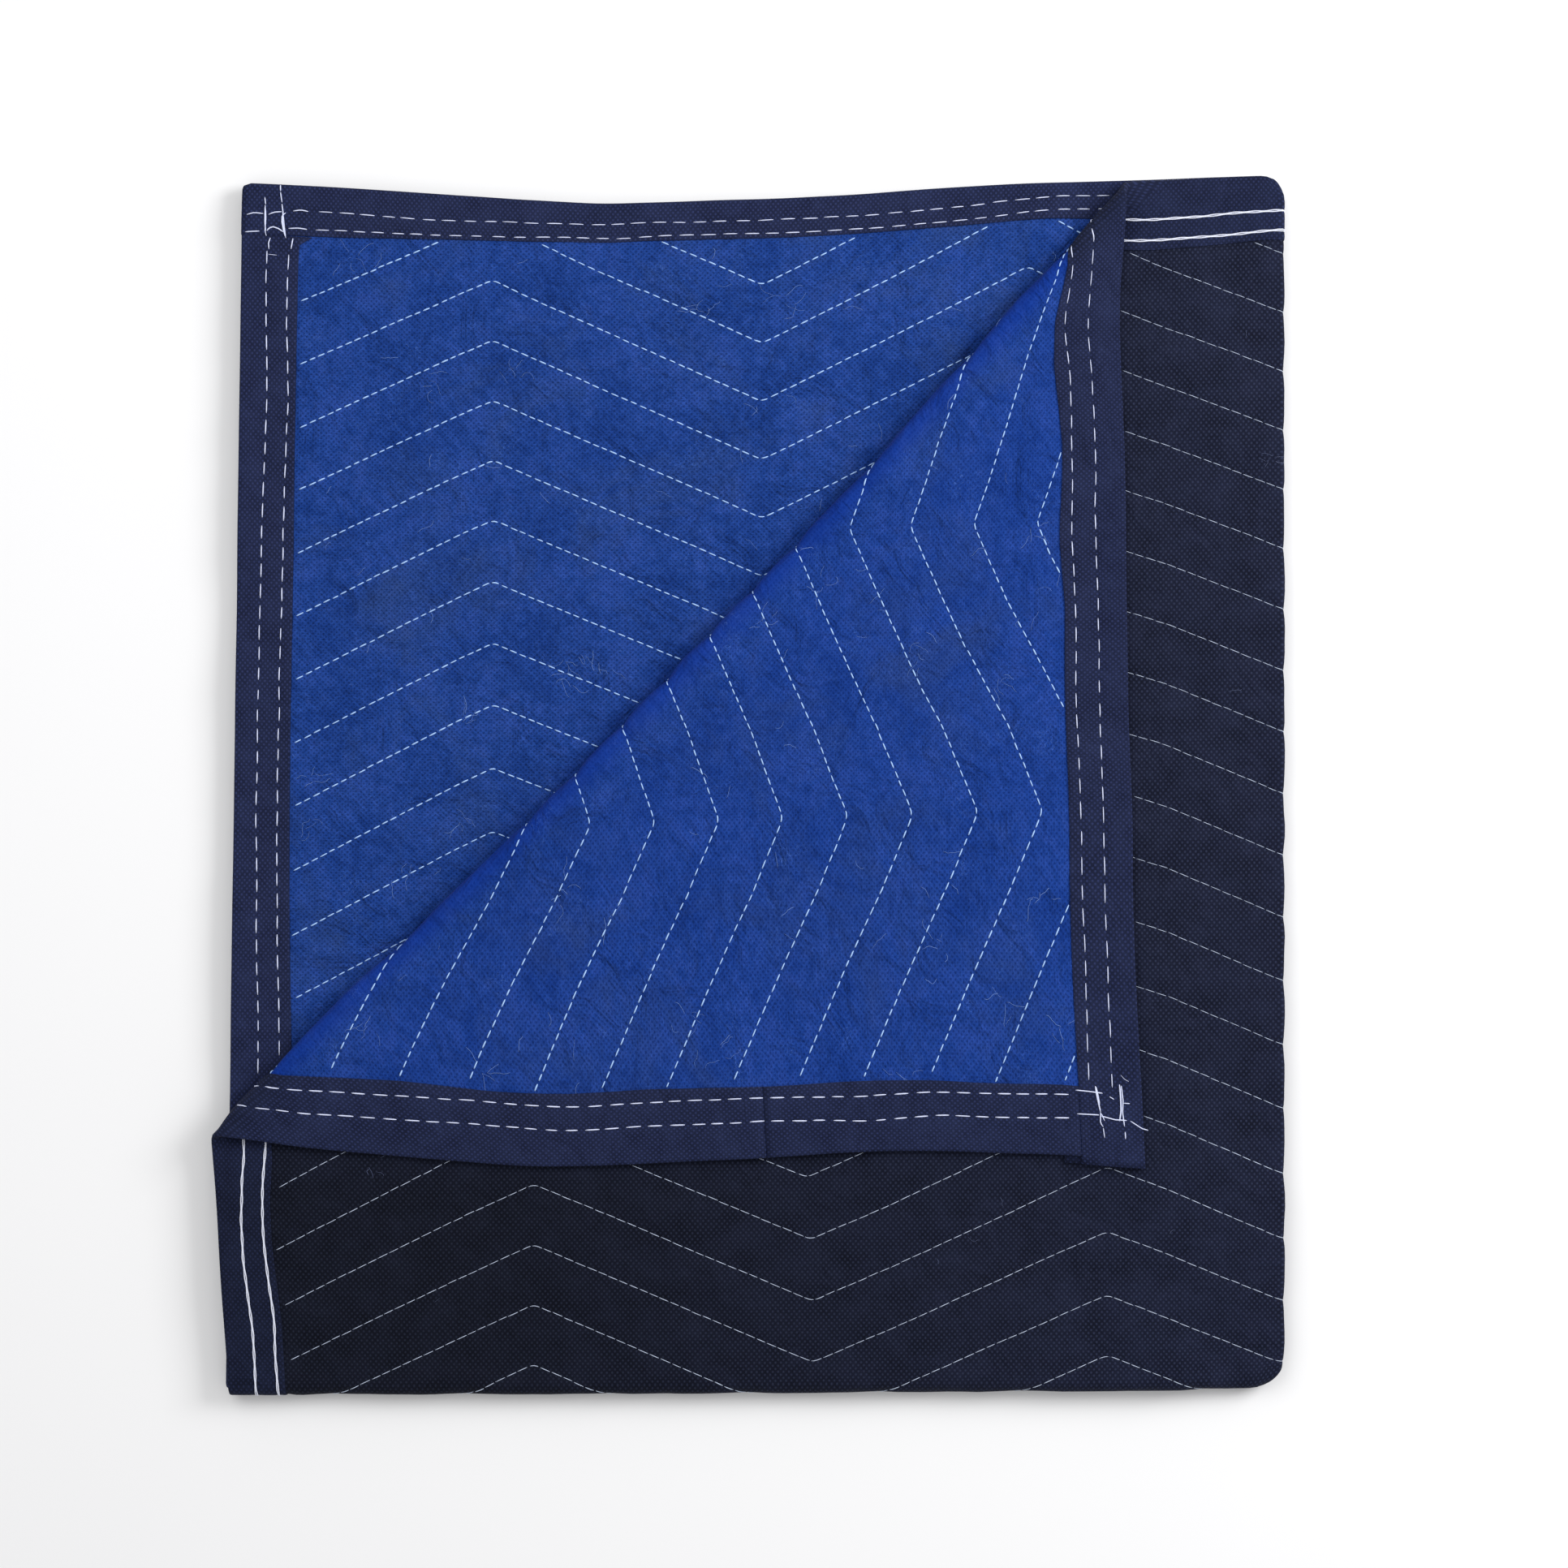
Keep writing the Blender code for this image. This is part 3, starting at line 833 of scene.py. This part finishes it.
def chainstitch_thread():
    """Lay the two heavy unbroken rows that show on the tapes' navy side."""
    bm = bmesh.new()
    layers = flat_layers(bm)
    runs = (
        (on_top_edge, TAPE_TOP, SIDE_FOLD - 30 * MM, 1060 * MM),
        (on_right_edge, TAPE_RIGHT, 790 * MM, UNDER_FOLD + 2.2 * OUTER_RADIUS),
    )
    for number, (place_at, table, start, end) in enumerate(runs):
        for row_index in (3, 4):
            seed = SEED + number * 5 + row_index
            path = tape_row(place_at, table, row_index, start, end, CHAINSTITCH_SWAY, seed)
            turns = arc_places(path) * math.pi / CHAINSTITCH_BEAT
            beat = np.sin(turns + number + row_index) ** 2
            w = -(tape_face(path[:, 0], path[:, 1]) + 0.35 * MM + 0.25 * MM * beat)
            for strand in (-1, 1):
                apart = strand * (0.28 + 0.45 * beat) * MM
                across = (apart, apart * 0) if place_at is on_right_edge else (apart * 0, apart)
                laid = path + np.stack(across, axis=1)
                tube(bm, layers, np.column_stack((laid, w)), CHAINSTITCH_RADIUS, 6)
    fold_mesh(bm, layers)
    return bm


CORNER_STITCHES = (
    # where the tapes cross at the two free corners: radius, then u and v of each point, all in mm
    (0.5, (4.6, 27.8), (10.7, 26.1), (18.5, 26.6)),
    (0.5, (23.0, 27.2), (27.1, 25.2), (33.9, 24.2)),
    (0.5, (43.7, 23.1), (50.2, 21.9), (56.3, 22.8)),
    (0.5, (3.2, 42.7), (15.6, 41.7)),
    (0.55, (21.6, 41.6), (23.8, 38.6), (27.2, 37.6), (31.5, 38.8), (35.8, 41.5)),
    (0.5, (40.1, 38.2), (48.7, 37.5), (55.5, 38.1)),
    (0.45, (19.4, 12.3), (20.3, 18.7)),
    (0.5, (19.9, 19.2), (20.1, 33.9), (20.8, 42.5)),
    (0.45, (20.2, 22.1), (20.8, 30.4), (20.3, 41.5), (21.4, 45.5)),
    (0.5, (24.9, 47.0), (23.4, 51.0), (23.8, 56.6)),
    (0.2, (23.1, 61.0), (30.4, 61.4)),
    (0.5, (32.2, 0.9), (32.5, 6.3)),
    (0.45, (32.5, 7.1), (34.0, 16.1)),
    (0.5, (34.0, 17.4), (35.2, 25.2), (34.9, 32.9), (36.9, 41.9)),
    (0.5, (37.4, 25.0), (34.4, 27.4), (34.4, 33.0), (35.8, 39.8), (38.0, 46.6)),
    (0.4, (35.3, 26.7), (36.3, 34.9), (37.7, 45.9)),
    (0.5, (44.0, 46.2), (42.4, 55.4)),
    (0.5, (1728.8, 57.9), (1729.2, 45.2), (1729.8, 34.7)),
    (0.4, (1732.2, 28.7), (1734.3, 24.8)),
    (0.4, (1736.9, 16.8), (1737.0, 11.3)),
    (0.5, (1748.8, 57.7), (1748.4, 38.6)),
    (0.5, (1749.2, 36.6), (1751.4, 24.7), (1751.3, 14.6)),
    (0.45, (1751.6, 11.6), (1757.7, 1.6), (1758.9, -3.5)),
    (0.6, (1724.4, 40.6), (1732.1, 39.8), (1746.0, 37.1)),
    (0.45, (1725.0, 39.9), (1732.0, 38.7), (1739.5, 37.5)),
    (0.5, (1746.0, 37.1), (1755.0, 37.8), (1758.2, 35.4)),
    (0.4, (1747.0, 36.6), (1753.1, 33.9)),
    (0.4, (1759.2, 35.4), (1767.4, 34.6)),
    (0.65, (1722.2, 19.4), (1733.1, 19.1), (1743.8, 19.3), (1752.2, 20.9)),
    (0.5, (1722.9, 17.9), (1735.0, 17.1), (1744.8, 18.0), (1757.0, 16.8)),
    (0.5, (1760.8, 16.5), (1767.2, 16.5)),
    (0.15, (1715.8, 17.8), (1718.5, 14.7), (1719.8, 11.2)),
)


def corner_thread():
    """Lay the doubled and crossing stitches at the two free corners."""
    bm = bmesh.new()
    layers = flat_layers(bm)
    for radius, *points in CORNER_STITCHES:
        points = np.array(points) * MM
        places = arc_places(points)
        steps = np.linspace(0, places[-1], max(5, round(places[-1] / (2.2 * MM))))
        u, v = (np.interp(steps, places, points[:, i]) for i in (0, 1))
        arch = np.sin(np.linspace(0, math.pi, len(steps))) * radius * MM
        w = CREST - 0.05 * MM + arch
        tube(bm, layers, np.stack((u, v, w), axis=1), radius * MM, 6)
    fold_mesh(bm, layers)
    return bm


def lint(side, count, seen, reach, seed):
    """Scatter loose fibres on one side of the sheet, some alone and some in tufts."""
    bm = bmesh.new()
    layers = flat_layers(bm)
    draw = np.random.default_rng(seed)
    laid = 0
    while laid < count:
        u, v = draw.uniform(30 * MM, SHEET_WIDTH), draw.uniform(30 * MM, 1010 * MM)
        if not seen(u, v) or tape_covers(u, v, side) < 2 * MM:
            continue
        laid += 1
        for _ in range(draw.choice((1, 1, 1, 5))):
            start = np.array((u, v)) + draw.normal(0, 4 * MM, 2)
            heading = draw.uniform(0, 2 * math.pi)
            turns = draw.normal(0, 0.35, 8).cumsum() + heading
            step = draw.uniform(0.4, 1.0) * reach / 8
            points = start + np.stack((np.cos(turns), np.sin(turns)), axis=1).cumsum(axis=0) * step
            w = side * (cloth_height(points[:, 0], points[:, 1], side) + draw.uniform(0.05, 0.3) * MM)
            tube(bm, layers, np.column_stack((points, w)), draw.uniform(0.09, 0.2) * MM, 3)
    fold_mesh(bm, layers)
    return bm


def main():
    place_camera()
    light_studio()
    felt = needled_felt()
    backing = spunbond("spunbond_navy_backing", "#111423", "#1D2135", "#363D57", 3.2 * MM, 0.62)
    tape = spunbond("spunbond_navy_tape", "#181D35", "#242B49", "#384270", 3.0 * MM, 0.6)
    face_thread = sewing_thread("spun_polyester_face_thread", "#AACFFF")
    thread = sewing_thread("spun_polyester_thread", "#DCE3FF")
    heavy_thread = sewing_thread("heavy_polyester_thread", "#E3E7F7")
    dull_thread = sewing_thread("spun_polyester_underthread", "#C3CFE6")
    blue_fibre = sewing_thread("loose_blue_fibre", "#6E93D8")
    navy_fibre = sewing_thread("loose_navy_fibre", "#56628A")

    blue = finish_piece("quilted_blue_face", quilted_cloth(1), felt)
    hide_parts("face_panel")
    navy = finish_piece("quilted_navy_back", quilted_cloth(-1), backing)
    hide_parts("back_panel")

    lengths = {
        "binding_top": (on_top_edge, TAPE_TOP, 0.0, SHEET_WIDTH + OVERHANG),
        "binding_bottom": (on_bottom_edge, TAPE_BOTTOM, 0.0, SHEET_WIDTH),
        "binding_left": (on_left_edge, TAPE_LEFT, LEFT_START, SHEET_LENGTH - BUTT),
        "binding_right_upper": (on_right_edge, TAPE_RIGHT, RIGHT_START, TAPE_JOIN - GAP / 2),
        "binding_right_lower": (on_right_edge, TAPE_RIGHT, TAPE_JOIN + GAP / 2, SHEET_LENGTH - BUTT),
    }
    for seed, (node, (place_at, table, start, end)) in enumerate(lengths.items()):
        bm = binding(place_at, table, start, end, SEED + 40 + seed)
        piece = finish_piece(node.replace("binding", "tape"), bm, tape)
        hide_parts(node)

    sewn = (
        ("quilting_thread_blue", "blue_face", face_thread,
         quilting_thread(1, 30 * MM, BLUE_QUILTING, face_shows)),
        ("quilting_thread_navy", "navy_back", dull_thread,
         quilting_thread(-1, 880 * MM, NAVY_QUILTING, back_shows)),
        ("tape_thread_blue", "navy_binding", thread, lockstitch_thread(face_shows)),
        ("tape_thread_navy", "navy_binding", heavy_thread, chainstitch_thread()),
        ("corner_thread", "navy_binding", thread, corner_thread()),
        ("lint_blue", "blue_face", blue_fibre, lint(1, 110, face_shows, 22 * MM, SEED + 60)),
        ("lint_navy", "navy_back", navy_fibre, lint(-1, 26, back_shows, 14 * MM, SEED + 61)),
    )
    for name, slot_name, material, bm in sewn:
        finish_piece(name, bm, material)


# Materials

def hex_colour(code):
    """Turn an sRGB hex value into a linear colour."""
    parts = [int(code[i:i + 2], 16) / 255 for i in (1, 3, 5)]
    return tuple(c / 12.92 if c <= 0.04045 else ((c + 0.055) / 1.055) ** 2.4 for c in parts) + (1.0,)


def new_material(name, **settings):
    """Start a material on a Principled shader with fixed settings."""
    cloth = bpy.data.materials.new(name)
    cloth.use_nodes = True
    shader = cloth.node_tree.nodes["Principled BSDF"]
    for socket, value in settings.items():
        shader.inputs[socket.replace("_", " ")].default_value = value
    return cloth.node_tree, shader


def add(tree, kind, settings, links):
    """Add a node; links maps its inputs, by name or number, to other nodes' outputs or to values."""
    node = tree.nodes.new("ShaderNode" + kind)
    for key, value in settings.items():
        setattr(node, key, value)
    for socket, source in links.items():
        if isinstance(source, bpy.types.NodeSocket):
            tree.links.new(source, node.inputs[socket])
        else:
            node.inputs[socket].default_value = source
    return node


def creases(tree, flat, strength):
    """Add the soft creases that padded cloth keeps from being folded and handled."""
    crumple = add(tree, "TexNoise", {}, {"Vector": flat, "Scale": 22.0, "Detail": 3.0, "Roughness": 0.55,
                                         "Distortion": 1.6})
    bump = add(tree, "Bump", {}, {"Strength": strength, "Distance": 9 * MM,
                                  "Height": crumple.outputs["Fac"]})
    return bump.outputs[0]


def needled_felt():
    """Needled polyester felt with a hot-rolled grid of dots: matt and fibrous, worn grey in patches."""
    tree, shader = new_material(
        "needled_blue_felt", Roughness=0.95, Sheen_Weight=0.03, Sheen_Roughness=0.5,
        Specular_IOR_Level=0.04,
    )
    flat = add(tree, "UVMap", {"uv_map": "flat"}, {}).outputs[0]
    patches = add(tree, "TexNoise", {}, {"Vector": flat, "Scale": 17.0, "Detail": 5.0, "Roughness": 0.6})
    streaks = add(tree, "TexNoise", {}, {"Vector": flat, "Scale": 110.0, "Detail": 4.0, "Distortion": 0.6})
    rubbed = add(tree, "TexNoise", {}, {"Vector": flat, "Scale": 24.0, "Detail": 2.0})
    tone_and_shade = add(tree, "Mix", {"data_type": "FLOAT"},
               {0: 0.45, 2: patches.outputs["Fac"], 3: streaks.outputs["Fac"]})
    tone = add(tree, "ValToRGB", {}, {"Fac": tone_and_shade.outputs[0]})
    tone.color_ramp.elements[0].position = 0.4
    tone.color_ramp.elements[0].color = hex_colour("#18377D")
    tone.color_ramp.elements[1].position = 0.6
    tone.color_ramp.elements[1].color = hex_colour("#274591")
    middle = tone.color_ramp.elements.new(0.5)
    middle.color = hex_colour("#1F3F88")
    # fibres are under 0.1 mm thick; drawn as flecks of about 1 x 3 mm so that they show
    turned = add(tree, "Mapping", {}, {"Vector": flat, "Rotation": (0, 0, 0.6), "Scale": (1.0, 2.6, 1.0)})
    fibres = add(tree, "TexNoise", {}, {"Vector": turned.outputs[0], "Scale": 360.0, "Detail": 4.0,
                                        "Roughness": 0.75, "Distortion": 1.5})
    nap = add(tree, "ValToRGB", {}, {"Fac": fibres.outputs["Fac"]})
    nap.color_ramp.elements[0].position = 0.33
    nap.color_ramp.elements[0].color = (0.3, 0.36, 0.44, 1)
    nap.color_ramp.elements[1].position = 0.7
    nap.color_ramp.elements[1].color = (1.66, 1.6, 1.48, 1)
    greyed = add(tree, "TexNoise", {}, {"Vector": flat, "Scale": 9.0, "Detail": 6.0, "Roughness": 0.7,
                                        "Distortion": 0.8})
    grey = add(tree, "MapRange", {}, {"Value": greyed.outputs["Fac"], "From Min": 0.5, "From Max": 0.72,
                                      "To Max": 0.5})
    handled = add(tree, "Mix", {"data_type": "RGBA", "blend_type": "MIX"},
                  {0: grey.outputs[0], 6: tone.outputs[0], 7: hex_colour("#30446F")})
    napped = add(tree, "Mix", {"data_type": "RGBA", "blend_type": "MULTIPLY"},
                 {0: 0.85, 6: handled.outputs[2], 7: nap.outputs[0]})
    # the real dots stand 1.75 mm apart; drawn at 3.2 mm so that they show
    diagonal = add(tree, "Mapping", {}, {"Vector": flat, "Rotation": (0, 0, 0.785)})
    dots = add(tree, "TexVoronoi", {"feature": "F1"},
               {"Vector": diagonal.outputs[0], "Scale": 1 / (3.2 * MM), "Randomness": 0.06})
    pressed = add(tree, "MapRange", {"interpolation_type": "SMOOTHSTEP"},
                  {"Value": dots.outputs["Distance"], "From Min": 0.12, "From Max": 0.42,
                   "To Min": 0.62, "To Max": 1.12})
    dotted = add(tree, "Mix", {"data_type": "RGBA", "blend_type": "MULTIPLY"},
                 {0: 1.0, 6: napped.outputs[2], 7: pressed.outputs[0]})
    # painted shade: along the turned fold the felt is painted a deeper, more saturated blue for the shade
    # and bounced light there, and the turned corner gets a little of it
    painted_shade_and_tone = add(tree, "Attribute", {"attribute_name": "painted_shade_and_tone"}, {})
    fold_shaded = add(tree, "Mix", {"data_type": "RGBA", "blend_type": "MIX"},
                {0: painted_shade_and_tone.outputs["Fac"], 6: dotted.outputs[2], 7: hex_colour("#0B2F8C")})
    # rubbed fibres stand up in pale wisps about 10 mm long
    curls = add(tree, "TexNoise", {}, {"Vector": flat, "Scale": 95.0, "Detail": 2.0, "Distortion": 2.2})
    offset = add(tree, "Math", {"operation": "SUBTRACT"}, {0: curls.outputs["Fac"], 1: 0.5})
    distance = add(tree, "Math", {"operation": "ABSOLUTE"}, {0: offset.outputs[0]})
    thin = add(tree, "MapRange", {},
               {"Value": distance.outputs[0], "From Min": 0.0, "From Max": 0.012,
                "To Min": 1.0, "To Max": 0.0})
    patch = add(tree, "MapRange", {},
                {"Value": rubbed.outputs["Fac"], "From Min": 0.56, "From Max": 0.68, "To Max": 0.4})
    wisps = add(tree, "Math", {"operation": "MULTIPLY"}, {0: thin.outputs[0], 1: patch.outputs[0]})
    colour = add(tree, "Mix", {"data_type": "RGBA", "blend_type": "MIX"},
                 {0: wisps.outputs[0], 6: fold_shaded.outputs[2], 7: hex_colour("#5C83D6")})
    tree.links.new(colour.outputs[2], shader.inputs["Base Color"])
    raised = add(tree, "Math", {"operation": "MULTIPLY_ADD"},
                 {0: fibres.outputs["Fac"], 1: 0.5, 2: pressed.outputs[0]})
    creased = creases(tree, flat, 0.9)
    bump = add(tree, "Bump", {}, {"Strength": 0.45, "Distance": 0.0005, "Height": raised.outputs[0],
                                  "Normal": creased})
    tree.links.new(bump.outputs[0], shader.inputs["Normal"])
    return bpy.data.materials["needled_blue_felt"]


def spunbond(name, deep, light, bond, spacing, strength):
    """Spunbonded polypropylene: fine matt filaments, with point bonds in a diamond grid whose shine is
    painted in as a lighter colour.
    """
    tree, shader = new_material(name, Roughness=0.8, Sheen_Weight=0.02, Specular_IOR_Level=0.05)
    flat = add(tree, "UVMap", {"uv_map": "flat"}, {}).outputs[0]
    clouds = add(tree, "TexNoise", {}, {"Vector": flat, "Scale": 32.0, "Detail": 6.0, "Roughness": 0.65})
    tone = add(tree, "ValToRGB", {}, {"Fac": clouds.outputs["Fac"]})
    tone.color_ramp.elements[0].position = 0.3
    tone.color_ramp.elements[0].color = hex_colour(deep)
    tone.color_ramp.elements[1].position = 0.7
    tone.color_ramp.elements[1].color = hex_colour(light)
    filaments = add(tree, "TexNoise", {}, {"Vector": flat, "Scale": 520.0, "Detail": 4.0,
                                           "Roughness": 0.7, "Distortion": 1.0})
    grain = add(tree, "MapRange", {}, {"Value": filaments.outputs["Fac"], "From Min": 0.3, "From Max": 0.7,
                                       "To Min": 0.72, "To Max": 1.28})
    grained = add(tree, "Mix", {"data_type": "RGBA", "blend_type": "MULTIPLY"},
                  {0: 1.0, 6: tone.outputs[0], 7: grain.outputs[0]})
    # the real bonds stand 2.4 mm apart; drawn a little coarser so that they show
    diagonal = add(tree, "Mapping", {}, {"Vector": flat, "Rotation": (0, 0, 0.785),
                                         "Scale": (1.0, 0.86, 1.0)})
    dots = add(tree, "TexVoronoi", {"feature": "F1"},
               {"Vector": diagonal.outputs[0], "Scale": 1 / spacing, "Randomness": 0.05})
    bonded = add(tree, "MapRange", {"interpolation_type": "SMOOTHSTEP"},
                 {"Value": dots.outputs["Distance"], "From Min": 0.1, "From Max": 0.4,
                  "To Min": strength, "To Max": 0.0})
    # painted highlight: the point bonds are painted lighter for their shine
    colour = add(tree, "Mix", {"data_type": "RGBA", "blend_type": "MIX"},
                 {0: bonded.outputs[0], 6: grained.outputs[2], 7: hex_colour(bond)})
    # painted shade: the outer cloth is darkened and greyed towards its far edge, in the lee of the turned
    # corner; the tapes' navy side is given the same darker, greyer tone as its own colour
    painted_shade_and_tone = add(tree, "Attribute", {"attribute_name": "painted_shade_and_tone"}, {})
    tone_and_shade = add(tree, "Mix", {"data_type": "RGBA", "blend_type": "MULTIPLY"},
               {0: painted_shade_and_tone.outputs["Fac"], 6: colour.outputs[2], 7: (0.6, 0.59, 0.52, 1.0)})
    tree.links.new(tone_and_shade.outputs[2], shader.inputs["Base Color"])
    raised = add(tree, "Math", {"operation": "MULTIPLY_ADD"},
                 {0: filaments.outputs["Fac"], 1: 0.4, 2: bonded.outputs[0]})
    creased = creases(tree, flat, 0.45)
    bump = add(tree, "Bump", {"invert": True}, {"Strength": 0.35, "Distance": 0.0004,
                                                "Height": raised.outputs[0], "Normal": creased})
    tree.links.new(bump.outputs[0], shader.inputs["Normal"])
    return bpy.data.materials[name]


def sewing_thread(name, colour):
    """Spun polyester thread: pale and slightly hairy, with a soft lustre."""
    tree, shader = new_material(name, Roughness=0.6, Sheen_Weight=0.2, Specular_IOR_Level=0.4)
    place = add(tree, "TexCoord", {}, {}).outputs["Object"]
    twist = add(tree, "TexNoise", {}, {"Vector": place, "Scale": 900.0, "Detail": 2.0})
    tone = add(tree, "MapRange", {}, {"Value": twist.outputs["Fac"], "To Min": 0.82, "To Max": 1.15})
    shade = add(tree, "Mix", {"data_type": "RGBA", "blend_type": "MULTIPLY"},
                {0: 1.0, 6: hex_colour(colour), 7: tone.outputs[0]})
    tree.links.new(shade.outputs[2], shader.inputs["Base Color"])
    return bpy.data.materials[name]


# Camera, light and floor

def place_camera():
    """Hang the camera straight over the middle of the folded sheet."""
    lens = bpy.data.cameras.new("camera")
    lens.sensor_width = CAMERA_SENSOR
    lens.lens = CAMERA_LENS
    camera = bpy.data.objects.new("camera", lens)
    camera.location = CAMERA_PLACE
    bpy.context.scene.collection.objects.link(camera)
    bpy.context.scene.camera = camera


def area_light(name, place, size, power):
    """Aim a soft square light at the middle of the floor."""
    lamp = bpy.data.lights.new(name, "AREA")
    lamp.size = size
    lamp.energy = power
    light = bpy.data.objects.new(name, lamp)
    light.location = place
    light.rotation_euler = (-Vector(place)).to_track_quat("-Z", "Y").to_euler()
    bpy.context.scene.collection.objects.link(light)


def light_studio():
    """Light a pale floor softly, a little more from the right."""
    area_light("key_light", place=(2.1, 0.9, 1.6), size=1.3, power=52)
    area_light("fill_light", place=(-1.2, 1.2, 2.6), size=2.2, power=26)
    world = bpy.data.worlds.new("studio")
    world.use_nodes = True
    sky = world.node_tree.nodes["Background"]
    sky.inputs["Color"].default_value = (1, 1, 1, 1)
    sky.inputs["Strength"].default_value = WORLD_STRENGTH
    bpy.context.scene.world = world
    bpy.context.scene.view_settings.view_transform = "Standard"
    bpy.ops.object.select_all(action="DESELECT")
    bpy.ops.mesh.primitive_plane_add(size=FLOOR_SIZE, location=(0, 0, 0))
    floor = bpy.context.object
    floor.name = "floor"
    new_material("pale_paper_floor", Base_Color=hex_colour("#FAFAFB"), Roughness=0.95)
    floor.data.materials.append(bpy.data.materials["pale_paper_floor"])
    for vert in floor.data.vertices:
        vert.co.z = -FLOOR_DROP


main()
